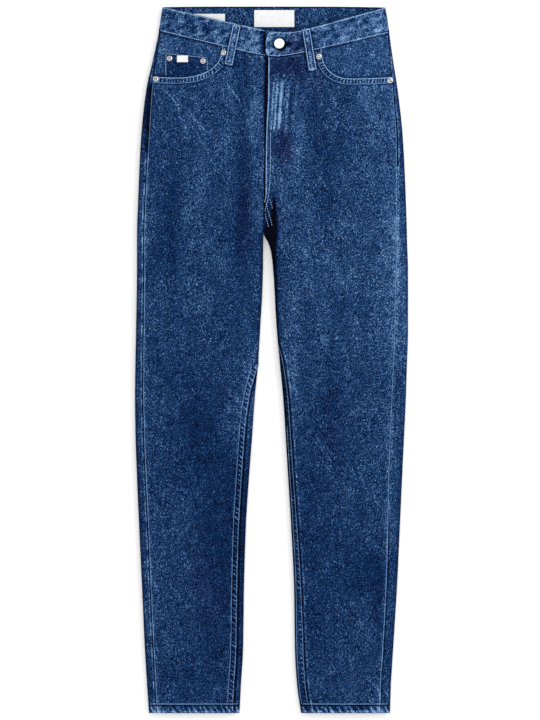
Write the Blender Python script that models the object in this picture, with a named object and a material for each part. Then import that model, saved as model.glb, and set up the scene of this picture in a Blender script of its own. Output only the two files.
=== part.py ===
"""Relaxed fit jeans, laid flat on a table with the front side up.

The model is in metres, +Z up out of the table, +Y towards the waist and +X to the wearer's left.
Lengths below are in millimetres and turned into metres when a mesh is made.
"down" is the distance below the straight back waist edge, measured along the jeans.
Each panel is a wall of cloth on one shared surface: a lofted tube for each leg, which above the
crotch runs into one lofted tube for the hips.
"""
from math import atan2, cos, exp, hypot, pi, sin

import bmesh
import bpy
import numpy as np
from mathutils import Vector

MM = 0.001

# Overall sizes
LENGTH = 1095.0
CROTCH = 350.6
SINK_START = 245.0
HEM_BAND = 13.0

# Cloth and the gaps between pieces
DENIM = 1.4
HEM_CLOTH = 2.8
SEAM_GAP = 0.34
LAYER_GAP = 0.3
BAND_OUT = 0.6
BAND_IN = 2.0
LAP_SHIFT = 1.45
SEAT_LIFT = 2.2

# Roundness of the lofted sections, and where the edges lie between table and top
LEG_POWER = 3.0
HIP_POWER = 3.4
EDGE_LEVEL = 0.42
FLAT_UNDERSIDE = 1.25

# Height of the lofted cloth above the table
LOFT = [
    ("down", "height"),
    (0, 14.0), (40, 14.5), (130, 16.0), (230, 17.0), (355, 17.0),
    (500, 16.5), (700, 15.5), (900, 14.0), (1050, 12.6), (1095, 12.0),
]

# The line where the two front panels meet, and the one where the two back panels meet
FRONT_MEET = [
    ("down", "across"),
    (0, -7.0), (70, -7.0), (145, -9.3), (222, -10.8), (298, -11.6), (CROTCH, -12.7),
]
BACK_MEET = [
    ("down", "across"),
    (0, 4.6), (120, 2.5), (245, -5.5), (320, -11.6), (CROTCH, -12.7),
]

# Each leg's edges, measured outwards from the middle line, and how far inside them the seams lie
LEG = {
    "right": [
        ("down", "outer", "inner", "side_seam", "inseam"),
        (0, 168.2, 12.9, 0, 0),
        (39, 174.4, 12.9, 0, 0),
        (82, 183.7, 12.9, 3.5, 0),
        (132, 194.5, 12.9, 7.8, 0),
        (206, 202.3, 12.9, 10.9, 0),
        (306, 206.9, 12.9, 10.5, 0),
        (CROTCH, 208.4, 12.9, 10.3, 0),
        (405, 208.5, 13.2, 10.4, 0),
        (504, 210.0, 17.8, 10.9, 0),
        (555, 211.0, 20.9, 11.3, 0),
        (603, 211.6, 25.6, 11.8, 7.0),
        (658, 211.0, 29.4, 12.4, 10.4),
        (733, 208.4, 35.0, 12.6, 10.0),
        (802, 205.4, 39.5, 13.2, 9.5),
        (901, 200.7, 42.6, 12.6, 9.3),
        (1000, 196.1, 44.2, 12.6, 9.3),
        (1050, 193.0, 47.3, 12.0, 9.3),
        (1095, 189.9, 49.6, 11.8, 9.3),
    ],
    "left": [
        ("down", "outer", "inner", "side_seam", "inseam"),
        (0, 175.9, -12.5, 0, 0),
        (39, 182.1, -12.5, 0, 0),
        (82, 188.3, -12.5, 4.0, 0),
        (132, 196.0, -12.5, 6.5, 0),
        (206, 203.8, -12.5, 9.0, 0),
        (306, 208.5, -12.5, 13.0, 0),
        (CROTCH, 209.9, -12.5, 15.3, 0),
        (366, 210.2, -5.0, 15.8, 0),
        (380, 210.8, -0.8, 16.0, 0),
        (405, 211.6, 2.3, 16.6, 0),
        (504, 211.6, 8.5, 18.6, 0),
        (555, 210.0, 13.2, 19.4, 7.5),
        (603, 208.5, 17.8, 20.0, 9.3),
        (702, 203.8, 24.0, 19.6, 10.0),
        (802, 199.2, 30.2, 17.5, 10.9),
        (901, 194.5, 34.9, 15.4, 12.4),
        (1000, 188.3, 36.4, 14.7, 14.7),
        (1050, 185.2, 39.5, 14.6, 14.7),
        (1095, 183.7, 45.7, 14.7, 14.7),
    ],
}

# The largest soft folds of the top side: a line down the cloth, its half width and its height
FOLDS = [
    ("from_across", "from_down", "to_across", "to_down", "half_width", "height"),
    (-49, 165, -36, 470, 14, -3.2),
    (-25, 140, -22, 400, 11, 1.2),
    (-128, 300, -120, 560, 26, -1.6),
    (74, 120, 66, 300, 15, -2.6),
    (20, 170, 22, 330, 13, 1.2),
    (120, 420, 112, 640, 24, -1.8),
    (-92, 720, -88, 970, 20, -2.2),
    (104, 780, 108, 1000, 22, -1.6),
]

# The stretch over which a fold or the lifted seat fades out, and the seat's sag over the yoke
FADE = 70.0
LIFT_END = 330.0
SEAT_SAG = {"down": 92.0, "half_length": 30.0, "half_width": 170.0, "depth": 0.4}

# Waistband: the front edges dip to a rounded low point, the back edges are straight.
# The top edge of the lapped end drops towards its corner.
BAND_TOP = {"middle": 20.9, "down": 40.3, "round": 23.0, "right": 0.235, "left": 0.290}
BAND_SEAM = {"middle": 7.0, "down": 78.3, "round": 23.0, "right": 0.250, "left": 0.240}
BACK_SEAM_DOWN = 37.0
FLAP_END = -7.0
FLAP_DROP = {"depth": 4.2, "length": 20.0}
UNDERLAP_END = 24.0
LAP_FADE = 20.0
LAP_BEYOND_BUTTON = 16.0

# Front pocket mouths: inner end, where the floor of the curve begins, its depth and its outer end
MOUTH = {
    "right": {"inner_end": -77.2, "floor_from": -149.6, "floor": 110.0, "outer_end": 107.7},
    "left": {"inner_end": 78.3, "floor_from": 124.8, "floor": 111.5, "outer_end": 108.5},
}
MOUTH_POWER = 2.35
FACING_UNDER = 15.0
FACING_BEYOND = 10.0
FACING_DEPTH = {"right": 3.3, "left": 2.3}
FACING_CLOTH = 1.2

COIN_POCKET = {"outer": -165.1, "inner": -98.4, "down_outer": 71.6, "down_inner": 78.7, "end": 119.0}
COIN_POCKET_LEVEL = 1.7
COIN_POCKET_CLOTH = 1.1
COIN_TAB = {"from": -146.5, "to": -129.4, "top": 76.2, "bottom": 86.4}
LABEL_CLOTH = 0.4

# Back of the seat
YOKE_SIDE = 80.0
YOKE_MIDDLE = 115.0
BACK_POCKET = {"middle": 100.0, "top": 150.0, "side": 296.0, "tip": 318.0, "half_top": 69.0,
               "half_bottom": 58.0, "cloth": 1.8}

# Fly
FLY_WIDTH = 34.0
FLY_RAISE = 1.0
FLY_BOTTOM = 236.0
ZIP = {"width": 26.0, "top": 83.0, "bottom": 232.0, "level": 2.0, "cloth": 1.0}

# Belt loops: the middle of each end, across and down
LOOP_WIDTH = 13.6
LOOP_CLOTH = 1.2
LOOP_BULGE = 1.0
FRONT_LOOPS = {
    "belt_loop_front_right": (-53.9, 29.0, -66.5, 91.8),
    "belt_loop_front_left": (53.5, 34.6, 63.7, 99.5),
}
BACK_LOOPS = {
    "belt_loop_back_right": (-96.0, 2.0, -96.0, 58.0),
    "belt_loop_back_centre": (4.6, 2.0, 4.6, 58.0),
    "belt_loop_back_left": (104.0, 2.0, 104.0, 58.0),
}

# Metal pieces
BUTTON = {"across": 11.9, "down": 58.0, "radius": 8.2, "height": 3.4}
RIVET = {"radius": 4.4, "height": 1.5}
RIVETS = [
    ("name", "across", "down", "level"),
    ("rivet_coin_outer", -158.1, 80.6, -COIN_POCKET_LEVEL),
    ("rivet_coin_inner", -106.2, 84.8, -COIN_POCKET_LEVEL),
    ("rivet_pocket_right_inner", -74.1, 72.0, 0.3),
    ("rivet_pocket_right_outer", -179.4, 112.6, 0.3),
    ("rivet_pocket_left_inner", 73.2, 78.0, 0.3),
    ("rivet_pocket_left_outer", 183.6, 115.0, 0.3),
]

# Labels on the inner face of the back waistband
WAIST_LABEL = {"from": -26.7, "to": 35.3, "top": 5.4, "bottom": 31.6}
SIDE_LABEL = {"from": -126.0, "to": -72.1, "top": 11.2, "bottom": 31.0}

# Where the grids have their rows and columns
STATIONS = [137, 175, 210, 245, 272, 298, 320, 338, CROTCH, 366, 382, 410, 450, 500, 548, 590, 632,
            676, 725, 780, 835, 890, 945, 1000, 1045, LENGTH - HEM_BAND - 1.5, LENGTH - HEM_BAND, LENGTH]
TOP_ROWS = 3
FRONT_COLUMNS = [0, 0.07, 0.18, 0.30, 0.43, 0.52, 0.59, 0.625, 0.70, 0.80, 0.89, 0.95, 0.985, 1]
BACK_COLUMNS = 16

COLOURS = {
    "denim": ((0.030, 0.075, 0.190, 1), 0.85, 0.0),
    "facing denim": ((0.050, 0.110, 0.230, 1), 0.85, 0.0),
    "label cloth": ((0.86, 0.86, 0.84, 1), 0.70, 0.0),
    "zip tape": ((0.015, 0.020, 0.045, 1), 0.80, 0.0),
    "silver metal": ((0.72, 0.72, 0.74, 1), 0.28, 1.0),
}

SIGN = {"right": -1.0, "left": 1.0}


def columns_of(table):
    """Turn rows under their names into one array for each name."""
    names, *rows = table
    return {name: np.array(values) for name, values in zip(names, zip(*rows))}


def smooth_line(table, column):
    """A smooth curve of the column over "down", which never overshoots the rows."""
    data = columns_of(table)
    x, y = data["down"].astype(float), data[column].astype(float)
    step, slope = np.diff(x), np.diff(y) / np.diff(x)
    tangent = np.concatenate([[slope[0]], np.zeros(len(x) - 2), [slope[-1]]])
    for i in range(1, len(x) - 1):
        if slope[i - 1] * slope[i] > 0:
            near, far = 2 * step[i] + step[i - 1], step[i] + 2 * step[i - 1]
            tangent[i] = (near + far) / (near / slope[i - 1] + far / slope[i])

    def value(down):
        i = int(np.clip(np.searchsorted(x, down) - 1, 0, len(step) - 1))
        t = np.clip((down - x[i]) / step[i], 0, 1)
        rise = y[i] * (1 + 2 * t) * (1 - t) ** 2 + y[i + 1] * t * t * (3 - 2 * t)
        return rise + step[i] * (tangent[i] * t * (1 - t) ** 2 - tangent[i + 1] * t * t * (1 - t))
    return value


def ease(t):
    """Soft step from 0 to 1."""
    t = min(max(t, 0.0), 1.0)
    return t * t * (3 - 2 * t)


loft = smooth_line(LOFT, "height")
front_meet = smooth_line(FRONT_MEET, "across")
back_meet = smooth_line(BACK_MEET, "across")
leg_line = {side: {name: smooth_line(LEG[side], name) for name in LEG[side][0][1:]} for side in LEG}
folds = columns_of(FOLDS)


def seat_lift(across, down):
    """The seat is carried a little above the table by the back pockets, and sags over the yoke."""
    sag = SEAT_SAG["depth"] * exp(-((down - SEAT_SAG["down"]) / SEAT_SAG["half_length"]) ** 2)
    sag *= exp(-(across / SEAT_SAG["half_width"]) ** 2)
    return SEAT_LIFT * (1 - ease((down - LIFT_END) / FADE)) - sag


def sunk_share(down):
    """How far the middle line has sunk between the legs, from 0 on the hips to 1 at the crotch."""
    return ease((down - SINK_START) / (CROTCH - SINK_START))


def edges(side, down, front):
    """Across-positions of the outer and the inner edge of one side of the jeans."""
    outer = SIGN[side] * leg_line[side]["outer"](down)
    if down < CROTCH:
        meet = front_meet(down) if front else back_meet(down)
        return outer, meet + SIGN[side] * SEAM_GAP / 2
    return outer, SIGN[side] * leg_line[side]["inner"](down)


def fold_height(across, down):
    """Sum of the soft folds at one place of the top side."""
    total = 0.0
    for row in zip(*folds.values()):
        from_across, from_down, to_across, to_down, half_width, height = row
        along = (down - from_down) / (to_down - from_down)
        middle = from_across + (to_across - from_across) * along
        ends = ease((down - from_down + FADE) / FADE) * ease((to_down + FADE - down) / FADE)
        total += height * ends * np.exp(-((across - middle) / half_width) ** 2)
    return total


def arch(part, power):
    """Height of a rounded section, from 1 in its middle to 0 at its edges."""
    return max(0.0, 1 - min(abs(part), 1.0) ** power) ** (1 / power)


def sheet_height(rise, across, down, front):
    """Height over the table where the section's arch has the given rise."""
    top, edge, low = loft(down), EDGE_LEVEL * loft(down), seat_lift(across, down)
    if front:
        return edge + (top - edge + fold_height(across, down)) * rise
    return max(low, edge - (edge - low) * FLAT_UNDERSIDE * rise)


def hip_height(across, down, front):
    """Height of the lofted tube of the hips."""
    right, left = edges("right", down, front)[0], edges("left", down, front)[0]
    part = (2 * across - right - left) / (left - right)
    return sheet_height(arch(part, HIP_POWER), across, down, front)


def section_place(turn, power):
    """A place on a rounded section of size 1, at an angle from its outer edge."""
    reach = (abs(cos(turn)) ** power + abs(sin(turn)) ** power) ** (-1 / power)
    return reach * cos(turn), reach * sin(turn)


def side_surface(side, down, turn):
    """The outer face of one side: turn 0 is its outer edge, pi its inner edge, negative the back."""
    front = sin(turn) >= 0 if abs(turn) < pi - 1e-9 else turn > 0
    if down >= CROTCH and turn < -pi:
        front = True
    outer, inner = edges(side, down, front)
    part, rise = section_place(turn, LEG_POWER)
    across = (outer + inner) / 2 + (outer - inner) / 2 * part
    height = sheet_height(abs(rise), across, down, front)
    if down < CROTCH:
        sunk = sunk_share(down)
        height = (1 - sunk) * hip_height(across, down, front) + sunk * height
    return np.array([across, LENGTH / 2 - down, height])


def hip_surface(down, turn):
    """The outer face round the whole hips: turn 0 is the left edge, pi the right edge."""
    front = sin(turn) >= 0
    right, left = edges("right", down, front)[0], edges("left", down, front)[0]
    part, rise = section_place(turn, HIP_POWER)
    across = (left + right) / 2 + (left - right) / 2 * part
    return np.array([across, LENGTH / 2 - down, sheet_height(abs(rise), across, down, front)])


def flat_surface(front):
    """The outer face of the hips, reached by its across-position."""
    def place(down, across):
        return np.array([across, LENGTH / 2 - down, hip_height(across, down, front)])
    return place


def face_normal(surface, down, turn, step, outward, reach=(-1, 1)):
    """Unit vector out of the cloth. reach says which sides the slope is taken from."""
    along = surface(down + 1.0, turn) - surface(down - 1.0, turn)
    around = surface(down, turn + reach[1] * step) - surface(down, turn + reach[0] * step)
    normal = np.cross(along, around)
    normal /= np.linalg.norm(normal)
    return normal if np.dot(normal, outward) > 0 else -normal


def side_normal(side):
    """Outward normal of one side of the jeans, softened where the panels meet above the crotch."""
    def normal(down, turn):
        outward = np.array([SIGN[side] * cos(turn), 0, sin(turn)])
        near_meet = down < CROTCH and pi - abs(turn) < 0.3
        if not near_meet:
            return face_normal(lambda d, t: side_surface(side, d, t), down, turn, 0.02, outward)
        outward += np.array([0, 0, 0.5 if turn > 0 else -0.5])
        reach = (-1, 0) if turn > 0 else (0, 1)
        step = 0.01 + 0.29 * (1 - sunk_share(down))
        return face_normal(lambda d, t: side_surface(side, min(d, CROTCH - 0.01), t),
                           down, min(max(turn, -pi), pi), step, outward, reach)
    return normal


def hip_normal(down, turn):
    """Outward normal round the whole hips."""
    return face_normal(hip_surface, down, turn, 0.02, np.array([cos(turn), 0, sin(turn)]))


def flat_normal(front):
    """Outward normal of the hips, reached by the across-position."""
    def normal(down, across):
        outward = np.array([0, 0, 1.0 if front else -1.0])
        return face_normal(flat_surface(front), down, across, 1.0, outward)
    return normal


def turn_at(side, down, inset, inner=False):
    """Angle of the top-side place that lies inset from the outer or the inner edge."""
    outer, inner_edge = edges(side, down, True)
    part = 1 - inset / (abs(outer - inner_edge) / 2)
    part = -part if inner else part
    return atan2(arch(part, LEG_POWER), part)


def seam_step(side, down, turn):
    """Half a seam gap, as an angle."""
    speed = np.linalg.norm(side_surface(side, down, turn + 0.01) - side_surface(side, down, turn - 0.01))
    return SEAM_GAP / 2 / (speed / 0.02)


def side_turn(side, down, front):
    """Angle where a panel starts, at the side seam."""
    turn = turn_at(side, down, leg_line[side]["side_seam"](down))
    gap = seam_step(side, down, max(turn, 0.05))
    return turn + gap if front else turn - gap


def inseam_turn(side, down, front):
    """Angle where a panel ends, at the inseam or at the middle line."""
    if down < CROTCH:
        turn, gap = pi, 0.018
    else:
        turn = turn_at(side, down, leg_line[side]["inseam"](down), inner=True)
        gap = seam_step(side, down, min(turn, pi - 0.02))
    return turn - gap if front else turn + gap - 2 * pi


def dip_line(sizes, across):
    """Down-position of a waistband edge on the front."""
    slope = sizes["right"] if across < sizes["middle"] else sizes["left"]
    away = hypot(across - sizes["middle"], sizes["round"]) - sizes["round"]
    return sizes["down"] - slope * away


def band_edge(sizes, back_down, across, down, front):
    """Down-position of a waistband edge anywhere on the band."""
    if front:
        return dip_line(sizes, across)
    outer = edges("right" if across < 0 else "left", down, False)[0]
    return back_down + (dip_line(sizes, outer) - back_down) * (across / outer) ** 4


def band_seam(across, down, front):
    """Where the waistband is sewn to the panels."""
    return band_edge(BAND_SEAM, BACK_SEAM_DOWN, across, down, front)


def mouth_line(side, across, grow=0.0, beyond=0.0):
    """Down-position of the curved front pocket mouth, or of a larger copy of it."""
    mouth = MOUTH[side]
    inner_end = mouth["inner_end"] - SIGN[side] * beyond
    part = (across - mouth["floor_from"]) / (inner_end - mouth["floor_from"])
    top = dip_line(BAND_SEAM, inner_end)
    if part >= 1:
        return top
    if part > 0:
        return top + (mouth["floor"] + grow - top) * (1 - part ** MOUTH_POWER) ** (1 / MOUTH_POWER)
    outer = SIGN[side] * leg_line[side]["outer"](mouth["floor"])
    away = (across - mouth["floor_from"]) / (outer - mouth["floor_from"])
    return mouth["floor"] + grow + (mouth["outer_end"] - mouth["floor"]) * min(away, 1.0) ** 2


def settle(place, edge_line, start):
    """Find the down-position where a column of the grid crosses an edge line."""
    down = start
    for _ in range(12):
        down = edge_line(place(down)[0], down)
    return down


def material(name):
    """A plain material in the piece's colour."""
    colour, roughness, metallic = COLOURS[name]
    made = bpy.data.materials.get(name) or bpy.data.materials.new(name)
    made.use_nodes = True
    shader = made.node_tree.nodes["Principled BSDF"]
    shader.inputs["Base Color"].default_value = colour
    shader.inputs["Roughness"].default_value = roughness
    shader.inputs["Metallic"].default_value = metallic
    made.diffuse_color = colour
    return made


def add_object(name, vertices, faces, colour, smooth=True):
    """Make one closed object from points in millimetres."""
    mesh = bpy.data.meshes.new(name)
    mesh.from_pydata([Vector(v) * MM for v in vertices], [], faces)
    work = bmesh.new()
    work.from_mesh(mesh)
    bmesh.ops.recalc_face_normals(work, faces=work.faces)
    work.to_mesh(mesh)
    work.free()
    if smooth:
        mesh.shade_smooth()
        mesh.set_sharp_from_angle(angle=0.7)
    mesh.materials.append(material(colour))
    piece = bpy.data.objects.new(name, mesh)
    bpy.context.collection.objects.link(piece)
    return piece


def cloth(name, surface, normal, grid, colour, levels):
    """A wall of cloth over a grid of (down, turn) places.

    levels gives the distances of its lower and upper face from the shared surface at a place.
    """
    rows, columns = len(grid), len(grid[0])
    lower, upper = [], []
    for line in grid:
        for down, turn in line:
            place, out = surface(down, turn), normal(down, turn)
            low, high = levels(down, place[0], turn)
            lower.append(place + low * out)
            upper.append(place + high * out)
    for points in (lower, upper):
        for point in points:
            point[2] = max(point[2], 0.0)
    count = rows * columns
    faces = []
    for i in range(rows - 1):
        for j in range(columns - 1):
            a, b = i * columns + j, i * columns + j + 1
            c, d = b + columns, a + columns
            faces.append((a, d, c, b))
            faces.append((a + count, b + count, c + count, d + count))
    rim = list(range(columns))
    rim += [i * columns + columns - 1 for i in range(1, rows)]
    rim += [(rows - 1) * columns + j for j in range(columns - 2, -1, -1)]
    rim += [i * columns for i in range(rows - 2, 0, -1)]
    for a, b in zip(rim, rim[1:] + rim[:1]):
        faces.append((a, b, b + count, a + count))
    return add_object(name, lower + upper, faces, colour)


def panel_levels(side, front):
    """Faces of a panel: thicker at the turned hem, raised over the fly."""
    def levels(down, across, turn):
        wall = DENIM + (HEM_CLOTH - DENIM) * ease((down - LENGTH + HEM_BAND + 1.5) / 1.5)
        raised = 0.0
        if front and side == "left":
            over = ease((front_meet(min(down, CROTCH)) + FLY_WIDTH - across) / 6.0)
            raised = FLY_RAISE * over * ease((FLY_BOTTOM - down) / 25.0)
        return raised - wall, raised
    return levels


def panel_rows(top_down):
    """Rows of one column: a few spread from its top edge, then the common stations."""
    first = STATIONS[0]
    return [top_down + (first - top_down) * i / TOP_ROWS for i in range(TOP_ROWS)] + STATIONS


def front_panel(side):
    """Front panel from the side seam to the middle line and the inseam, with the pocket mouth cut."""
    def turn(down, part):
        outer, inner = edges(side, down, True)
        middle, half = (outer + inner) / 2, (outer - inner) / 2
        start, end = side_turn(side, down, True), inseam_turn(side, down, True)
        first = section_place(start, LEG_POWER)[0]
        last = section_place(end, LEG_POWER)[0]
        level = first + (last - first) * part
        if part in (0, 1):
            return start if part == 0 else end
        return atan2(arch(level, LEG_POWER), level)

    def top_edge(across, down):
        return max(band_seam(across, down, True), mouth_line(side, across)) + LAYER_GAP

    columns = []
    for part in FRONT_COLUMNS:
        top = settle(lambda d: side_surface(side, d, turn(d, part)), top_edge, 80.0)
        columns.append([(down, turn(down, part)) for down in panel_rows(top)])
    grid = [list(line) for line in zip(*columns)]
    return cloth(f"front_{side}", lambda d, t: side_surface(side, d, t), side_normal(side), grid,
                 "denim", panel_levels(side, True))


def yoke_line(side, across, down):
    """Down-position of the slanted seam under the yoke."""
    outer, inner = edges(side, down, False)
    return YOKE_SIDE + (YOKE_MIDDLE - YOKE_SIDE) * (outer - across) / (outer - inner)


def back_turn(side, down, part):
    """Angle of a column of the back, from the side seam round the outer edge to the inseam."""
    start, end = side_turn(side, down, False), inseam_turn(side, down, False)
    return start + (end - start) * part


def back_pieces(side):
    """Back panel and the yoke over it."""
    yoke_columns, panel_columns = [], []
    for part in np.linspace(0, 1, BACK_COLUMNS + 1):
        def place(down, part=part):
            return side_surface(side, down, back_turn(side, down, part))

        def seam_edge(across, down, part=part):
            front = back_turn(side, down, part) > 0
            return band_seam(across, down, front) + LAYER_GAP

        top = settle(place, seam_edge, 40.0)
        seam = settle(place, lambda across, down: yoke_line(side, across, down), 90.0)
        yoke = np.linspace(top, seam - SEAM_GAP / 2, 4)
        yoke_columns.append([(down, back_turn(side, down, part)) for down in yoke])
        panel = panel_rows(seam + SEAM_GAP / 2)
        panel_columns.append([(down, back_turn(side, down, part)) for down in panel])
    surface, normal = (lambda d, t: side_surface(side, d, t)), side_normal(side)
    cloth(f"yoke_{side}", surface, normal, [list(line) for line in zip(*yoke_columns)], "denim",
          panel_levels(side, False))
    cloth(f"back_{side}", surface, normal, [list(line) for line in zip(*panel_columns)], "denim",
          panel_levels(side, False))


def lap_shift(side, across):
    """The left end of the band is lifted over the right end, which is pressed under it."""
    if side == "left":
        fade_from = BUTTON["across"] + LAP_BEYOND_BUTTON
        return LAP_SHIFT * (1 - ease((across - fade_from) / LAP_FADE))
    return -LAP_SHIFT * ease((across - FLAP_END + LAP_FADE + 2) / LAP_FADE)


def hip_turn_at(across, down):
    """Angle of a top-side place of the hips."""
    right, left = edges("right", down, True)[0], edges("left", down, True)[0]
    part = (2 * across - right - left) / (left - right)
    return atan2(arch(part, HIP_POWER), part)


def flap_drop(across):
    """How much lower the top edge of the lapped end is."""
    return FLAP_DROP["depth"] * max(0.0, 1 - (across - FLAP_END) / FLAP_DROP["length"]) ** 1.5


def waistband(side):
    """Half of the waistband, from the fly round the side to the middle of the back."""
    end = FLAP_END if side == "left" else UNDERLAP_END
    middle_down = 50.0
    start = hip_turn_at(end, middle_down)
    back_middle = -hip_turn_at(back_meet(0) + SIGN[side] * SEAM_GAP / 2, 0)
    stop = back_middle if side == "left" else 2 * pi + back_middle
    near_end = [start + (stop - start) * part for part in (0, 0.045, 0.09, 0.135)]
    rest = np.linspace(start + (stop - start) * 0.18, stop, 17)
    columns = []
    for turn in near_end + list(rest):
        def place(down, turn=turn):
            return hip_surface(down, turn)

        def top_edge(across, down, front=sin(turn) >= 0):
            edge = band_edge(BAND_TOP, 0.0, across, down, front)
            return edge + flap_drop(across) if side == "left" and front else edge

        def seam_edge(across, down, front=sin(turn) >= 0):
            return band_seam(across, down, front)

        top = settle(place, top_edge, 5.0)
        seam = settle(place, seam_edge, 50.0)
        columns.append([(down, turn) for down in np.linspace(top, seam, 4)])

    def levels(down, across, turn):
        shift = lap_shift(side, across) if sin(turn) >= 0 else 0.0
        return shift - BAND_IN, shift + BAND_OUT

    grid = [list(line) for line in zip(*columns)]
    return cloth(f"waistband_{side}", hip_surface, hip_normal, grid, "denim", levels)


def patch(name, front, outline, rows, columns, colour, levels):
    """Piece of cloth on the hips. outline(part) gives the top and bottom place of a column."""
    if isinstance(levels, tuple):
        low, high = levels
        return patch(name, front, outline, rows, columns, colour, lambda down, across, turn: (low, high))
    grid = []
    for i in range(rows + 1):
        line = []
        for j in range(columns + 1):
            top, bottom = outline(j / columns)
            place = [a + (b - a) * i / rows for a, b in zip(top, bottom)]
            line.append((place[1], place[0]))
        grid.append(line)
    return cloth(name, flat_surface(front), flat_normal(front), grid, colour, levels)


def pocket_facing(side):
    """Cloth behind the front pocket mouth."""
    mouth, depth = MOUTH[side], FACING_DEPTH[side]
    outer_inset = 1.0

    def outline(part):
        inner = mouth["inner_end"] - SIGN[side] * FACING_BEYOND

        def across_at(down):
            seam = SIGN[side] * (leg_line[side]["outer"](down) - leg_line[side]["side_seam"](down)
                                 - outer_inset)
            return seam + (inner - seam) * part
        top = bottom = 80.0
        for _ in range(12):
            top = band_seam(across_at(top), top, True) + LAYER_GAP
            bottom = mouth_line(side, across_at(bottom), FACING_UNDER, FACING_BEYOND + 2.0)
        return (across_at(top), top), (across_at(bottom), bottom)

    return patch(f"pocket_facing_{side}", True, outline, 5, 9, "facing denim",
                 (-depth - FACING_CLOTH, -depth))


def coin_pocket():
    """Small pocket on the right facing, and the tab in its edge."""
    size = COIN_POCKET

    def outline(part):
        across = size["outer"] + (size["inner"] - size["outer"]) * part
        top = size["down_outer"] + (size["down_inner"] - size["down_outer"]) * part
        bottom = min(size["end"], mouth_line("right", across, FACING_UNDER) - 4.0)
        return (across, top), (across, bottom)

    patch("coin_pocket", True, outline, 4, 6, "denim",
          (-COIN_POCKET_LEVEL - COIN_POCKET_CLOTH, -COIN_POCKET_LEVEL))
    low = -COIN_POCKET_LEVEL + LAYER_GAP
    label("coin_tab", True, COIN_TAB, (low, low + LABEL_CLOTH))


def label(name, front, size, levels):
    """Small straight label."""
    def outline(part):
        across = size["from"] + (size["to"] - size["from"]) * part
        return (across, size["top"]), (across, size["bottom"])
    return patch(name, front, outline, 2, 4, "label cloth", levels)


def back_pocket(side):
    """Patch pocket with a pointed lower edge, under the seat."""
    size = BACK_POCKET

    def outline(part):
        reach = (2 * part - 1) * SIGN[side]
        middle = SIGN[side] * size["middle"]
        bottom = size["tip"] - (size["tip"] - size["side"]) * abs(reach)
        return (middle + reach * size["half_top"], size["top"]), (middle + reach * size["half_bottom"], bottom)

    return patch(f"back_pocket_{side}", False, outline, 6, 8, "denim",
                 (SEAT_LIFT - size["cloth"], SEAT_LIFT))


def zip_tape():
    """The closed zip, under the line where the front panels meet."""
    size = ZIP

    def outline(part):
        shift = (part - 0.5) * size["width"]
        return ((front_meet(size["top"]) + shift, size["top"]),
                (front_meet(size["bottom"]) + shift, size["bottom"]))
    return patch("zip", True, outline, 6, 4, "zip tape", (-size["level"] - size["cloth"], -size["level"]))


def belt_loop(name, ends, front):
    """Narrow strip over the waistband, standing a little off it on the front."""
    from_across, from_down, to_across, to_down = ends
    length = hypot(to_across - from_across, to_down - from_down)
    side_step = ((to_down - from_down) / length, -(to_across - from_across) / length)

    def outline(part):
        offset = (part - 0.5) * LOOP_WIDTH
        shift = (side_step[0] * offset, side_step[1] * offset)
        return ((from_across + shift[0], from_down + shift[1]),
                (to_across + shift[0], to_down + shift[1]))

    def levels(down, across, turn):
        along = (down - from_down) / (to_down - from_down)
        low = BAND_OUT + LAYER_GAP
        if front:
            low += LOOP_BULGE * sin(pi * min(max(along, 0), 1)) ** 2
            low -= (BAND_OUT - 0.1) * ease((along - 0.75) / 0.2)
        return low, low + LOOP_CLOTH
    return patch(name, front, outline, 8, 2, "denim", levels)


def turned_piece(name, profile, place, out, colour, sides=20):
    """Round piece turned about the cloth's normal. profile is (radius, height) from the bottom up."""
    turn = Vector((0, 0, 1)).rotation_difference(Vector(out)).to_matrix()
    vertices, faces = [], []
    for radius, height in profile:
        for i in range(sides):
            angle = 2 * pi * i / sides
            local = Vector((radius * cos(angle), radius * sin(angle), height))
            vertices.append(Vector(place) + turn @ local)
    for level in range(len(profile) - 1):
        for i in range(sides):
            a, b = level * sides + i, level * sides + (i + 1) % sides
            faces.append((a, b, b + sides, a + sides))
    faces.append(tuple(range(sides - 1, -1, -1)))
    faces.append(tuple((len(profile) - 1) * sides + i for i in range(sides)))
    return add_object(name, vertices, faces, colour)


def front_place(across, down, level):
    """A place over the front, and the direction out of the cloth there."""
    out = flat_normal(True)(down, across)
    return flat_surface(True)(down, across) + level * out, out


def metal_pieces():
    """The waist button and the pocket rivets."""
    radius, height = BUTTON["radius"], BUTTON["height"]
    place, out = front_place(BUTTON["across"], BUTTON["down"], BAND_OUT + LAP_SHIFT + LAYER_GAP)
    profile = [(0.45 * radius, 0), (0.45 * radius, 0.35 * height), (0.93 * radius, 0.42 * height),
               (radius, 0.62 * height), (0.97 * radius, 0.88 * height), (0.86 * radius, height),
               (0.70 * radius, 0.86 * height)]
    turned_piece("waist_button", profile, place, out, "silver metal")
    rivets = columns_of(RIVETS)
    for name, across, down, level in zip(*rivets.values()):
        radius, height = RIVET["radius"], RIVET["height"]
        place, out = front_place(across, down, level + LAYER_GAP)
        profile = [(0.96 * radius, 0), (radius, 0.25 * height), (0.82 * radius, 0.72 * height),
                   (0.40 * radius, height)]
        turned_piece(str(name), profile, place, out, "silver metal", sides=14)


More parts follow.
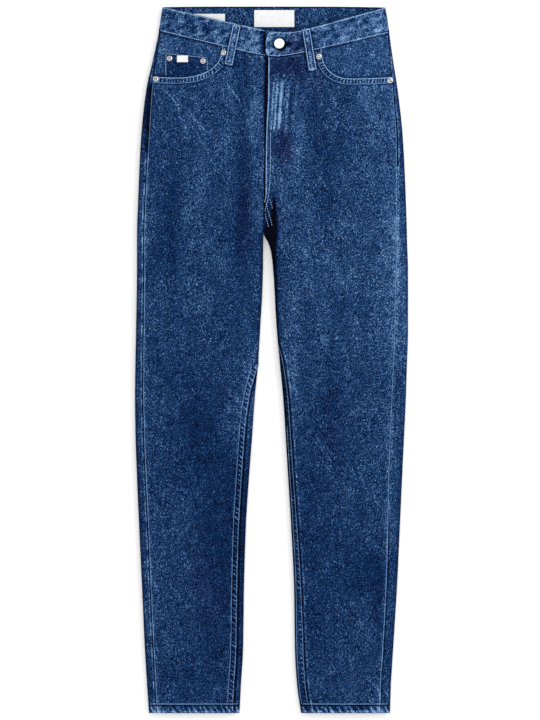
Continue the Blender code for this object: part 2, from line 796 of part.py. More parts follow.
def main():
    for old in list(bpy.data.objects):
        bpy.data.objects.remove(old)
    for side in ("right", "left"):
        front_panel(side)
        back_pieces(side)
        waistband(side)
        pocket_facing(side)
        back_pocket(side)
    coin_pocket()
    zip_tape()
    for name, ends in FRONT_LOOPS.items():
        belt_loop(name, ends, front=True)
    for name, ends in BACK_LOOPS.items():
        belt_loop(name, ends, front=False)
    inner_face = -BAND_IN - LAYER_GAP
    label("waist_label", False, WAIST_LABEL, (inner_face - LABEL_CLOTH, inner_face))
    label("side_label", False, SIDE_LABEL, (inner_face - LABEL_CLOTH, inner_face))
    metal_pieces()


main()
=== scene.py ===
"""The looks of the relaxed fit jeans: fine denim shells, sewing, metal, labels, light and camera."""
from math import cos, exp, hypot, pi, sin

import bmesh
import bpy
import numpy as np
from mathutils import Matrix, Vector


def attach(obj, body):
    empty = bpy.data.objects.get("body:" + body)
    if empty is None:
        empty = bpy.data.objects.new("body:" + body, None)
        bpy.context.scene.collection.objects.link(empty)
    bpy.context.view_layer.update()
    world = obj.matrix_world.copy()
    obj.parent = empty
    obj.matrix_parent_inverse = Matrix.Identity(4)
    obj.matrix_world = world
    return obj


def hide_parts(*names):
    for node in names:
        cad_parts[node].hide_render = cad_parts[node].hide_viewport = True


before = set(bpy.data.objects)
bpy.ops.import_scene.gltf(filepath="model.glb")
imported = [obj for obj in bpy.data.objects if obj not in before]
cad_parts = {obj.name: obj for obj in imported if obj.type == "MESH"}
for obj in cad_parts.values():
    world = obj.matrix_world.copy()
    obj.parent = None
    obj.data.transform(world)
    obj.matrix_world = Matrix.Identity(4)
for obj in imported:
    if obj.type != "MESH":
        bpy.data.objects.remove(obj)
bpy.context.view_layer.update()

MM = 0.001

# The cut and the lie of the jeans, in millimetres, as in the solids.
# "down" is the distance below the back waist edge, "across" is measured to the wearer's left.
LENGTH = 1095.0
CROTCH = 350.6
SINK_START = 245.0
HEM_BAND = 13.0
DENIM = 1.4
HEM_CLOTH = 2.8
SEAM_GAP = 0.34
LAYER_GAP = 0.3
BAND_OUT = 0.6
BAND_IN = 2.0
LAP_SHIFT = 1.45
SEAT_LIFT = 2.2
LEG_POWER = 3.0
HIP_POWER = 3.4
EDGE_LEVEL = 0.42
FLAT_UNDERSIDE = 1.25
FADE = 70.0
LIFT_END = 330.0
SEAT_SAG = {"down": 92.0, "half_length": 30.0, "half_width": 170.0, "depth": 0.4}
FIRST_STATION = 137.0

LOFT = [
    ("down", "height"),
    (0, 14.0), (40, 14.5), (130, 16.0), (230, 17.0), (355, 17.0),
    (500, 16.5), (700, 15.5), (900, 14.0), (1050, 12.6), (1095, 12.0),
]
FRONT_MEET = [
    ("down", "across"),
    (0, -7.0), (70, -7.0), (145, -9.3), (222, -10.8), (298, -11.6), (CROTCH, -12.7),
]
BACK_MEET = [
    ("down", "across"),
    (0, 4.6), (120, 2.5), (245, -5.5), (320, -11.6), (CROTCH, -12.7),
]
LEG = {
    "right": [
        ("down", "outer", "inner", "side_seam", "inseam"),
        (0, 168.2, 12.9, 0, 0),
        (39, 174.4, 12.9, 0, 0),
        (82, 183.7, 12.9, 3.5, 0),
        (132, 194.5, 12.9, 7.8, 0),
        (206, 202.3, 12.9, 10.9, 0),
        (306, 206.9, 12.9, 10.5, 0),
        (CROTCH, 208.4, 12.9, 10.3, 0),
        (405, 208.5, 13.2, 10.4, 0),
        (504, 210.0, 17.8, 10.9, 0),
        (555, 211.0, 20.9, 11.3, 0),
        (603, 211.6, 25.6, 11.8, 7.0),
        (658, 211.0, 29.4, 12.4, 10.4),
        (733, 208.4, 35.0, 12.6, 10.0),
        (802, 205.4, 39.5, 13.2, 9.5),
        (901, 200.7, 42.6, 12.6, 9.3),
        (1000, 196.1, 44.2, 12.6, 9.3),
        (1050, 193.0, 47.3, 12.0, 9.3),
        (1095, 189.9, 49.6, 11.8, 9.3),
    ],
    "left": [
        ("down", "outer", "inner", "side_seam", "inseam"),
        (0, 175.9, -12.5, 0, 0),
        (39, 182.1, -12.5, 0, 0),
        (82, 188.3, -12.5, 4.0, 0),
        (132, 196.0, -12.5, 6.5, 0),
        (206, 203.8, -12.5, 9.0, 0),
        (306, 208.5, -12.5, 13.0, 0),
        (CROTCH, 209.9, -12.5, 15.3, 0),
        (366, 210.2, -5.0, 15.8, 0),
        (380, 210.8, -0.8, 16.0, 0),
        (405, 211.6, 2.3, 16.6, 0),
        (504, 211.6, 8.5, 18.6, 0),
        (555, 210.0, 13.2, 19.4, 7.5),
        (603, 208.5, 17.8, 20.0, 9.3),
        (702, 203.8, 24.0, 19.6, 10.0),
        (802, 199.2, 30.2, 17.5, 10.9),
        (901, 194.5, 34.9, 15.4, 12.4),
        (1000, 188.3, 36.4, 14.7, 14.7),
        (1050, 185.2, 39.5, 14.6, 14.7),
        (1095, 183.7, 45.7, 14.7, 14.7),
    ],
}
FOLDS = [
    ("from_across", "from_down", "to_across", "to_down", "half_width", "height"),
    (-49, 165, -36, 470, 14, -3.2),
    (-25, 140, -22, 400, 11, 1.2),
    (-128, 300, -120, 560, 26, -1.6),
    (74, 120, 66, 300, 15, -2.6),
    (20, 170, 22, 330, 13, 1.2),
    (120, 420, 112, 640, 24, -1.8),
    (-92, 720, -88, 970, 20, -2.2),
    (104, 780, 108, 1000, 22, -1.6),
]
BAND_TOP = {"middle": 20.9, "down": 40.3, "round": 23.0, "right": 0.235, "left": 0.290}
BAND_SEAM = {"middle": 7.0, "down": 78.3, "round": 23.0, "right": 0.250, "left": 0.240}
BACK_SEAM_DOWN = 37.0
FLAP_END = -7.0
FLAP_DROP = {"depth": 4.2, "length": 20.0}
UNDERLAP_END = 24.0
LAP_FADE = 20.0
LAP_BEYOND_BUTTON = 16.0
MOUTH = {
    "right": {"inner_end": -77.2, "floor_from": -149.6, "floor": 110.0, "outer_end": 107.7},
    "left": {"inner_end": 78.3, "floor_from": 124.8, "floor": 111.5, "outer_end": 108.5},
}
MOUTH_POWER = 2.35
FACING_UNDER = 15.0
FACING_BEYOND = 10.0
FACING_DEPTH = {"right": 3.3, "left": 2.3}
FACING_CLOTH = 1.2
COIN_POCKET = {"outer": -165.1, "inner": -98.4, "down_outer": 71.6, "down_inner": 78.7, "end": 119.0}
COIN_POCKET_LEVEL = 1.7
COIN_POCKET_CLOTH = 1.1
COIN_TAB = {"from": -146.5, "to": -129.4, "top": 76.2, "bottom": 86.4}
LABEL_CLOTH = 0.4
YOKE_SIDE = 80.0
YOKE_MIDDLE = 115.0
BACK_POCKET = {"middle": 100.0, "top": 150.0, "side": 296.0, "tip": 318.0, "half_top": 69.0,
               "half_bottom": 58.0, "cloth": 1.8}
FLY_WIDTH = 34.0
FLY_BOTTOM = 236.0
LOOP_WIDTH = 13.6
LOOP_CLOTH = 1.2
LOOP_BULGE = 1.0
FRONT_LOOPS = {
    "belt_loop_front_right": (-53.9, 29.0, -66.5, 91.8),
    "belt_loop_front_left": (53.5, 34.6, 63.7, 99.5),
}
BACK_LOOPS = {
    "belt_loop_back_right": (-96.0, 2.0, -96.0, 58.0),
    "belt_loop_back_centre": (4.6, 2.0, 4.6, 58.0),
    "belt_loop_back_left": (104.0, 2.0, 104.0, 58.0),
}
BUTTON = {"across": 11.9, "down": 58.0, "radius": 8.2}
RIVETS = [
    ("name", "across", "down", "level"),
    ("rivet_coin_outer", -158.1, 80.6, -COIN_POCKET_LEVEL),
    ("rivet_coin_inner", -106.2, 84.8, -COIN_POCKET_LEVEL),
    ("rivet_pocket_right_inner", -74.1, 72.0, 0.3),
    ("rivet_pocket_right_outer", -179.4, 112.6, 0.3),
    ("rivet_pocket_left_inner", 73.2, 78.0, 0.3),
    ("rivet_pocket_left_outer", 183.6, 115.0, 0.3),
]
WAIST_LABEL = {"from": -26.7, "to": 35.3, "top": 5.4, "bottom": 31.6}
SIDE_LABEL = {"from": -126.0, "to": -72.1, "top": 11.2, "bottom": 31.0}

# Finer than in the solids: the lapped end's round corner and its swell, and a prouder fly
FLAP_CORNER = 2.5
FLAP_SWELL = 1.8
FLY_RAISE = 1.2

# How fine the grids of the shells are, and rounds in which an edge settles on a seam
PANEL_COLUMNS = 96
PANEL_ROWS = 320
TOP_ROWS = {"front": 48, "back": 24}
HEM_ROWS = 13
YOKE_ROWS = 28
BAND_COLUMNS = 190
BAND_ROWS = 24
SETTLE_STEPS = 14

# Step of a slope measured round a section, and how near the middle line its normal is softened
TURN_STEP = 0.02
NEAR_MEET = 0.3

# Height of the waistband
BAND_HEIGHT = 38.0

# How much of the outer face's wear and painted shade a shell's inner face takes, the tilt that counts as the
# top side, and the angle past which an edge is sharp
WEAR_AND_SHADE_INSIDE = 0.35
ON_TOP = 0.1
SHARP_ANGLE = 0.9

# Fine creases of the front: a line, its half width, its height and how much paler it has worn
CREASES = [
    ("from_across", "from_down", "to_across", "to_down", "half_width", "height", "worn"),
    (-168, 121, -138, 172, 1.5, 0.45, 0.70),
    (-150, 150, -112, 225, 2.0, 0.35, 0.20),
    (-72, 108, -40, 172, 1.6, 0.50, 0.55),
    (-80, 118, -66, 160, 1.5, 0.35, 0.50),
    (-60, 104, -52, 130, 1.6, 0.30, 0.25),
    (-34, 118, -22, 240, 5.0, 0.50, 0.15),
    (-134, 156, -83, 210, 1.4, 0.40, 0.62),
    (-118, 190, -84, 262, 1.8, 0.30, 0.20),
    (-176, 210, -160, 300, 2.4, 0.40, 0.10),
    (62, 118, 84, 190, 5.0, -0.55, -0.10),
    (88, 120, 112, 180, 2.0, 0.35, 0.32),
    (130, 128, 168, 205, 1.8, 0.35, 0.35),
    (40, 366, 58, 396, 1.3, 0.40, 0.80),
    (8, 292, 30, 303, 1.4, 0.35, 0.40),
    (66, 262, 100, 292, 1.4, 0.35, 0.35),
    (12, 352, 26, 400, 1.5, 0.40, 0.45),
    (-24, 330, -60, 392, 1.8, 0.40, 0.30),
    (40, 250, 66, 330, 2.6, -0.40, -0.10),
    (150, 330, 186, 420, 2.6, 0.35, 0.22),
    (-150, 560, -96, 640, 3.0, -0.40, -0.15),
    (-60, 640, -100, 700, 3.0, 0.35, 0.10),
    (70, 620, 130, 690, 3.0, -0.40, -0.05),
    (150, 640, 110, 720, 3.0, 0.35, 0.10),
    (-170, 830, -128, 900, 2.6, 0.30, 0.10),
    (130, 1010, 168, 1062, 1.6, 0.45, 0.25),
    (150, 1040, 176, 1076, 1.4, 0.45, 0.45),
    (66, 1030, 92, 1076, 1.6, 0.35, 0.25),
    (104, 1052, 122, 1080, 1.4, 0.35, 0.35),
    (-130, 1042, -112, 1080, 1.6, 0.35, 0.30),
    (-165, 1048, -146, 1078, 1.6, 0.30, 0.25),
    (-82, 1050, -96, 1080, 1.6, 0.30, 0.25),
    (153, 1070, 160, 1080, 1.0, 0.30, 0.60),
    (174, 1058, 182, 1076, 1.1, 0.35, 0.60),
    (116, 1064, 132, 1081, 1.2, 0.30, 0.40),
    (30, 515, 64, 547, 1.3, 0.40, 0.40),
    (21, 536, 36, 556, 1.1, 0.30, 0.35),
    (31, 583, 47, 616, 1.2, 0.35, 0.35),
    (-19, 508, -29, 570, 1.3, 0.40, 0.50),
    (-196, 905, -188, 1000, 1.2, 0.30, 0.35),
]

# Shallow creases of the underside, all pressed in, under the seat and behind the knees
UNDER_CREASES = [
    ("from_across", "from_down", "to_across", "to_down", "half_width", "height", "worn"),
    (-150, 345, -50, 372, 6.0, -0.7, 0.10),
    (-165, 372, -70, 404, 5.0, -0.5, 0.10),
    (50, 352, 158, 340, 6.0, -0.7, 0.10),
    (64, 392, 170, 372, 5.0, -0.5, 0.10),
    (-180, 640, -70, 662, 5.0, -0.6, 0.12),
    (-175, 678, -84, 668, 4.0, -0.5, 0.12),
    (60, 650, 170, 636, 5.0, -0.6, 0.12),
    (70, 676, 165, 690, 4.0, -0.5, 0.12),
    (-120, 900, -80, 1010, 6.0, -0.4, 0.05),
    (90, 880, 118, 1000, 6.0, -0.4, 0.05),
]

# Long ridges of the fly and the dark lines between them, from the line where the fronts meet
FLY_RIDGES = [
    ("offset", "half_width", "height", "worn"),
    (11.4, 1.9, 0.30, 0.58),
    (13.9, 0.7, -0.20, -0.36),
    (16.4, 2.0, 0.45, 0.80),
    (19.5, 1.1, -0.30, -0.50),
    (23.2, 2.7, 0.50, 0.98),
    (27.8, 1.4, -0.20, -0.28),
    (34.4, 1.9, 0.30, 0.46),
    (37.8, 1.2, -0.20, -0.25),
    (46.5, 2.0, 0.15, 0.32),
]

# Patches where the wash is paler or darker, together with painted light and shade: darker in the troughs of
# the folds and in the crotch, paler along the lit outer side of the left leg: middle, half sizes and strength
WASH_AND_PAINTED_LIGHT = [
    ("across", "down", "half_across", "half_down", "worn"),
    (-28, 160, 13, 95, 0.16),
    (-14, 330, 8, 40, 0.22),
    (-46, 300, 14, 190, -0.20),
    (-46, 350, 22, 50, -0.16),
    (-44, 120, 12, 60, -0.10),
    (-90, 170, 40, 90, 0.08),
    (-110, 320, 18, 60, 0.10),
    (-200, 370, 9, 170, 0.13),
    (-156, 340, 15, 120, -0.24),
    (-110, 650, 60, 110, -0.16),
    (-78, 860, 46, 190, -0.26),
    (-38, 900, 8, 170, -0.16),
    (-135, 1045, 32, 34, -0.18),
    (14, 152, 17, 38, 0.14),
    (24, 92, 24, 12, -0.26),
    (19, 214, 11, 18, -0.30),
    (22, 290, 10, 50, 0.14),
    (44, 100, 14, 22, -0.14),
    (44, 210, 15, 50, 0.20),
    (62, 190, 14, 80, -0.14),
    (84, 270, 14, 80, -0.16),
    (104, 190, 22, 110, -0.10),
    (150, 125, 22, 32, 0.18),
    (105, 260, 60, 110, 0.08),
    (182, 370, 20, 170, 0.24),
    (172, 150, 24, 60, 0.18),
    (112, 418, 17, 26, 0.24),
    (165, 480, 16, 40, 0.14),
    (-32, 600, 15, 90, 0.32),
    (-62, 645, 24, 50, 0.14),
    (30, 540, 14, 60, 0.22),
    (188, 830, 8, 120, 0.16),
    (62, 440, 30, 75, 0.14),
    (98, 640, 24, 80, -0.18),
    (60, 880, 36, 200, -0.16),
    (140, 880, 54, 60, -0.18),
    (168, 930, 10, 120, -0.16),
    (45, 960, 6, 80, 0.25),
    (-64, 1088, 3.2, 6, 0.80),
    (-24, 214, 11, 60, 0.14),
    (196, 400, 10, 110, 0.22),
    (207, 510, 6, 140, 0.34),
    (-5, 352, 7, 18, -1.0),
    (-194, 165, 8, 40, -0.30),
    (-180, 1089, 9, 5, 0.30),
    (137, 1085, 9, 6, -0.50),
    (170, 1089, 11, 5, 0.45),
]

# Places that kept their unwashed purplish navy
RAW = [
    ("across", "down", "half_across", "half_down", "share"),
    (38, 62, 14, 14, 0.6),
    (22, 94, 22, 14, 0.5),
    (44, 98, 16, 18, 0.5),
    (19, 218, 12, 24, 0.9),
    (72, 120, 12, 30, 0.3),
    (-34, 22, 10, 10, 0.3),
    (-45, 330, 12, 60, 0.4),
    (5, 330, 10, 30, 0.4),
    (-100, 900, 30, 80, 0.2),
    (92, 650, 20, 60, 0.2),
]

SIGN = {"right": -1.0, "left": 1.0}


def columns_of(table):
    """Turn rows under their names into one array for each name."""
    names, *rows = table
    return {name: np.array(values) for name, values in zip(names, zip(*rows))}


def smooth_line(table, column):
    """A smooth curve of the column over "down", which never overshoots the rows."""
    data = columns_of(table)
    x, y = data["down"].astype(float), data[column].astype(float)
    step, slope = np.diff(x), np.diff(y) / np.diff(x)
    tangent = np.concatenate([[slope[0]], np.zeros(len(x) - 2), [slope[-1]]])
    for i in range(1, len(x) - 1):
        if slope[i - 1] * slope[i] > 0:
            near, far = 2 * step[i] + step[i - 1], step[i] + 2 * step[i - 1]
            tangent[i] = (near + far) / (near / slope[i - 1] + far / slope[i])

    def value(down):
        down = np.asarray(down, float)
        i = np.clip(np.searchsorted(x, down) - 1, 0, len(step) - 1)
        t = np.clip((down - x[i]) / step[i], 0, 1)
        rise = y[i] * (1 + 2 * t) * (1 - t) ** 2 + y[i + 1] * t * t * (3 - 2 * t)
        return rise + step[i] * (tangent[i] * t * (1 - t) ** 2 - tangent[i + 1] * t * t * (1 - t))
    return value


def ease(t):
    """Soft step from 0 to 1."""
    t = np.clip(t, 0.0, 1.0)
    return t * t * (3 - 2 * t)


def bell(distance, half_width):
    """Soft bump of height 1."""
    return np.exp(-(distance / half_width) ** 2)


loft = smooth_line(LOFT, "height")
front_meet = smooth_line(FRONT_MEET, "across")
back_meet = smooth_line(BACK_MEET, "across")
leg_line = {side: {name: smooth_line(LEG[side], name) for name in LEG[side][0][1:]} for side in LEG}


def paired(down, place):
    """Down-positions and angles or across-positions, brought to one shape."""
    return np.broadcast_arrays(np.asarray(down, float), np.asarray(place, float))


def page_place(places):
    """Across- and down-positions of places."""
    return places[..., 0], LENGTH / 2 - places[..., 1]


def stretch(down, first, rise, last, fall):
    """1 from one place to another, with soft ends of the given lengths."""
    return ease((down - first) / rise) * ease((last - down) / fall)


def ripple(across, down, size, seed, waves=6):
    """Uneven soft waves of about one size, from -1 to 1, the same on each run."""
    draw = np.random.RandomState(seed)
    total = 0.0
    for _ in range(waves):
        angle = draw.uniform(0, pi)
        length = size * draw.uniform(0.7, 1.6)
        phase = draw.uniform(0, 2 * pi)
        total = total + np.sin((across * cos(angle) + down * sin(angle)) * 2 * pi / length + phase)
    return total / waves ** 0.5 / 1.4


def seat_lift(across, down):
    """The seat is carried a little above the table by the back pockets, and sags over the yoke."""
    sag = SEAT_SAG["depth"] * bell(down - SEAT_SAG["down"], SEAT_SAG["half_length"])
    return SEAT_LIFT * (1 - ease((down - LIFT_END) / FADE)) - sag * bell(across, SEAT_SAG["half_width"])


def sunk_share(down):
    """How far the middle line has sunk between the legs, from 0 on the hips to 1 at the crotch."""
    return ease((down - SINK_START) / (CROTCH - SINK_START))


def edges(side, down, front):
    """Across-positions of the outer and the inner edge of one side of the jeans."""
    outer = SIGN[side] * leg_line[side]["outer"](down)
    meet = np.where(front, front_meet(down), back_meet(down)) + SIGN[side] * SEAM_GAP / 2
    return outer, np.where(down < CROTCH, meet, SIGN[side] * leg_line[side]["inner"](down))


def along_line(row, across, down):
    """How far along a row's line a place lies, and its distance from the line sideways."""
    from_across, from_down, to_across, to_down = row
    run_across, run_down = to_across - from_across, to_down - from_down
    length = hypot(run_across, run_down)
    along = ((across - from_across) * run_across + (down - from_down) * run_down) / length ** 2
    beside = ((across - from_across) * run_down - (down - from_down) * run_across) / length
    return along, beside


def fold_height(across, down):
    """Sum of the large soft folds of the top side."""
    total = 0.0
    for from_across, from_down, to_across, to_down, half_width, height in FOLDS[1:]:
        along = (down - from_down) / (to_down - from_down)
        middle = from_across + (to_across - from_across) * along
        ends = ease((down - from_down + FADE) / FADE) * ease((to_down + FADE - down) / FADE)
        total = total + height * ends * bell(across - middle, half_width)
    return total


def arch(part, power):
    """Height of a rounded section, from 1 in its middle to 0 at its edges."""
    return np.maximum(0.0, 1 - np.minimum(np.abs(part), 1.0) ** power) ** (1 / power)


def sheet_height(rise, across, down, front):
    """Height over the table where the section's arch has the given rise."""
    top, edge, low = loft(down), EDGE_LEVEL * loft(down), seat_lift(across, down)
    above = edge + (top - edge + fold_height(across, down)) * rise
    below = np.maximum(low, edge - (edge - low) * FLAT_UNDERSIDE * rise)
    return np.where(front, above, below)


def hip_height(across, down, front):
    """Height of the lofted tube of the hips."""
    right, left = edges("right", down, front)[0], edges("left", down, front)[0]
    part = (2 * across - right - left) / (left - right)
    return sheet_height(arch(part, HIP_POWER), across, down, front)


def section_place(turn, power):
    """A place on a rounded section of size 1, at an angle from its outer edge."""
    reach = (np.abs(np.cos(turn)) ** power + np.abs(np.sin(turn)) ** power) ** (-1 / power)
    return reach * np.cos(turn), reach * np.sin(turn)


def side_surface(side, down, turn):
    """The outer face of one side: turn 0 is its outer edge, pi its inner edge, negative the back."""
    down, turn = paired(down, turn)
    front = np.sin(turn) >= 0
    outer, inner = edges(side, down, front)
    part, rise = section_place(turn, LEG_POWER)
    across = (outer + inner) / 2 + (outer - inner) / 2 * part
    height = sheet_height(np.abs(rise), across, down, front)
    sunk = np.where(down < CROTCH, sunk_share(down), 1.0)
    height = (1 - sunk) * hip_height(across, down, front) + sunk * height
    return np.stack([across, LENGTH / 2 - down, height], axis=-1)


def hip_surface(down, turn):
    """The outer face round the whole hips: turn 0 is the left edge, pi the right edge."""
    down, turn = paired(down, turn)
    front = np.sin(turn) >= 0
    right, left = edges("right", down, front)[0], edges("left", down, front)[0]
    part, rise = section_place(turn, HIP_POWER)
    across = (left + right) / 2 + (left - right) / 2 * part
    height = sheet_height(np.abs(rise), across, down, front)
    return np.stack([across, LENGTH / 2 - down, height], axis=-1)


def flat_surface(front):
    """The outer face of the hips, reached by its across-position."""
    def place(down, across):
        down, across = paired(down, across)
        return np.stack([across, LENGTH / 2 - down, hip_height(across, down, front)], axis=-1)
    return place


def unit_normal(along, around, outward):
    """Unit vectors out of the cloth from its two slopes."""
    normal = np.cross(along, around)
    normal /= np.maximum(np.linalg.norm(normal, axis=-1, keepdims=True), 1e-12)
    facing = np.sign(np.sum(normal * outward, axis=-1, keepdims=True))
    return normal * np.where(facing == 0, 1, facing)


def side_normal(side):
    """Outward normal of one side of the jeans, softened where the panels meet above the crotch."""
    def normal(down, turn):
        down, turn = paired(down, turn)
        near = (down < CROTCH) & (pi - np.abs(turn) < NEAR_MEET)
        step = 0.01 + 0.29 * (1 - sunk_share(down))
        held = np.clip(turn, -pi, pi)
        before = np.where(near, np.where(turn > 0, held - step, held), turn - TURN_STEP)
        after = np.where(near, np.where(turn > 0, held, held + step), turn + TURN_STEP)
        lower = np.where(near, np.minimum(down + 1, CROTCH - 0.01), down + 1)
        kept = np.where(near, np.minimum(down, CROTCH - 0.01), down)
        along = side_surface(side, lower, turn) - side_surface(side, kept - 1, turn)
        around = side_surface(side, kept, after) - side_surface(side, kept, before)
        tilt = np.where(near, np.where(turn > 0, 0.5, -0.5), 0.0)
        outward = np.stack([SIGN[side] * np.cos(turn), 0 * turn, np.sin(turn) + tilt], axis=-1)
        return unit_normal(along, around, outward)
    return normal


def outward_normal(surface, step, facing):
    """Outward normal of a surface, from short steps down the cloth and across it."""
    def normal(down, place):
        down, place = paired(down, place)
        along = surface(down + 1, place) - surface(down - 1, place)
        around = surface(down, place + step) - surface(down, place - step)
        return unit_normal(along, around, facing(place))
    return normal


hip_normal = outward_normal(
    hip_surface, TURN_STEP, lambda turn: np.stack([np.cos(turn), 0 * turn, np.sin(turn)], axis=-1))


def flat_normal(front):
    """Outward normal of the hips, reached by the across-position."""
    up = 1.0 if front else -1.0
    return outward_normal(flat_surface(front), 1.0, lambda across: np.array([0, 0, up]))


def turn_at(side, down, inset, inner=False):
    """Angle of the top-side place that lies inset from the outer or the inner edge."""
    outer, inner_edge = edges(side, down, True)
    part = 1 - inset / (np.abs(outer - inner_edge) / 2)
    part = -part if inner else part
    return np.arctan2(arch(part, LEG_POWER), part)


def seam_step(side, down, turn):
    """Half a seam gap, as an angle."""
    ahead, behind = side_surface(side, down, turn + 0.01), side_surface(side, down, turn - 0.01)
    return SEAM_GAP / 2 / (np.linalg.norm(ahead - behind, axis=-1) / 0.02)


def side_turn(side, down, front):
    """Angle where a panel starts, at the side seam."""
    turn = turn_at(side, down, leg_line[side]["side_seam"](down))
    gap = seam_step(side, down, np.maximum(turn, 0.05))
    return turn + gap if front else turn - gap


def inseam_turn(side, down, front):
    """Angle where a panel ends, at the inseam or at the middle line."""
    turn = turn_at(side, down, leg_line[side]["inseam"](down), inner=True)
    gap = seam_step(side, down, np.minimum(turn, pi - 0.02))
    turn = np.where(down < CROTCH, pi, turn)
    gap = np.where(down < CROTCH, 0.018, gap)
    return turn - gap if front else turn + gap - 2 * pi


def dip_line(sizes, across):
    """Down-position of a waistband edge on the front."""
    slope = np.where(across < sizes["middle"], sizes["right"], sizes["left"])
    away = np.hypot(across - sizes["middle"], sizes["round"]) - sizes["round"]
    return sizes["down"] - slope * away


def band_edge(sizes, back_down, across, down, front):
    """Down-position of a waistband edge anywhere on the band."""
    outer = np.where(across < 0, edges("right", down, False)[0], edges("left", down, False)[0])
    back = back_down + (dip_line(sizes, outer) - back_down) * (across / outer) ** 4
    return np.where(front, dip_line(sizes, across), back)


def band_seam(across, down, front):
    """Where the waistband is sewn to the panels."""
    return band_edge(BAND_SEAM, BACK_SEAM_DOWN, across, down, front)


def mouth_line(side, across, grow=0.0, beyond=0.0):
    """Down-position of the curved front pocket mouth, or of a larger copy of it."""
    mouth = MOUTH[side]
    inner_end = mouth["inner_end"] - SIGN[side] * beyond
    part = (across - mouth["floor_from"]) / (inner_end - mouth["floor_from"])
    top = dip_line(BAND_SEAM, inner_end)
    curve = top + (mouth["floor"] + grow - top) * arch(np.maximum(part, 0.0), MOUTH_POWER)
    outer = SIGN[side] * leg_line[side]["outer"](mouth["floor"])
    away = np.clip((across - mouth["floor_from"]) / (outer - mouth["floor_from"]), 0, 1)
    floor = mouth["floor"] + grow + (mouth["outer_end"] - mouth["floor"]) * away ** 2
    return np.where(part > 0, curve, floor)


def settle(place, edge_line, start):
    """Find the down-positions where the columns of a grid cross an edge line."""
    down = start
    for _ in range(SETTLE_STEPS):
        down = edge_line(place(down)[..., 0], down)
    return down


# Seams and sewn edges, as lines on the cloth

def mouth_curve(side):
    """The pocket mouth from the waistband round to the side seam."""
    mouth = MOUTH[side]
    angle = np.linspace(0, pi / 2, 60)
    top = dip_line(BAND_SEAM, mouth["inner_end"])
    width = mouth["inner_end"] - mouth["floor_from"]
    across = mouth["floor_from"] + width * np.cos(angle) ** (2 / MOUTH_POWER)
    down = top + (mouth["floor"] - top) * np.sin(angle) ** (2 / MOUTH_POWER)
    outer = SIGN[side] * (leg_line[side]["outer"](108.0) - leg_line[side]["side_seam"](108.0))
    flat = np.linspace(mouth["floor_from"], outer, 24)[1:]
    return np.concatenate([np.stack([across, down], 1), np.stack([flat, mouth_line(side, flat)], 1)])


def seam_curve(side, name, first, last):
    """The side seam or the inseam down the top side."""
    down = np.linspace(first, last, int((last - first) / 4))
    edge, inset = ("outer", -1) if name == "side_seam" else ("inner", 1)
    across = SIGN[side] * (leg_line[side][edge](down) + inset * leg_line[side][name](down))
    return np.stack([across, down], 1)


def band_curve(sizes, first, last):
    """An edge of the waistband on the front."""
    across = np.linspace(first, last, int(abs(last - first) / 3))
    return np.stack([across, dip_line(sizes, across)], 1)


def rounded_curve(corners, radius, count=8):
    """A line through corners, each rounded."""
    points = [np.array(corners[0], float)]
    for before, corner, after in zip(corners, corners[1:], corners[2:]):
        before, corner, after = (np.array(v, float) for v in (before, corner, after))
        inward = (before - corner) / np.linalg.norm(before - corner)
        outward = (after - corner) / np.linalg.norm(after - corner)
        for t in np.linspace(0, 1, count):
            points.append(corner + radius * (inward * (1 - t) ** 2 + outward * t ** 2))
    points.append(np.array(corners[-1], float))
    return np.array(points)


FLY_J = rounded_curve([(31.8, 84), (28.3, 196), (25.5, 246), (-4.5, 244)], 28)
HEM_TOP = LENGTH - HEM_BAND
SEAM_LINES = {
    "side_right": seam_curve("right", "side_seam", 44, LENGTH),
    "side_left": seam_curve("left", "side_seam", 46, LENGTH),
    "side_right_top": seam_curve("right", "side_seam", 122, 222),
    "side_left_top": seam_curve("left", "side_seam", 116, 246),
    "side_left_low": seam_curve("left", "side_seam", 800, LENGTH),
    "inseam_right": seam_curve("right", "inseam", 560, LENGTH),
    "inseam_left": seam_curve("left", "inseam", 525, LENGTH),
    "mouth_right": mouth_curve("right"),
    "mouth_left": mouth_curve("left"),
    "waist_right": band_curve(BAND_SEAM, -172, FLAP_END),
    "waist_left": band_curve(BAND_SEAM, FLAP_END, 180),
    "top_right": band_curve(BAND_TOP, -168, FLAP_END),
    "top_left": band_curve(BAND_TOP, FLAP_END, 175),
    "fly_j": FLY_J,
    "hem_right": np.array([(-192.0, HEM_TOP), (-48.0, HEM_TOP)]),
    "hem_left": np.array([(44.0, HEM_TOP), (185.0, HEM_TOP)]),
}

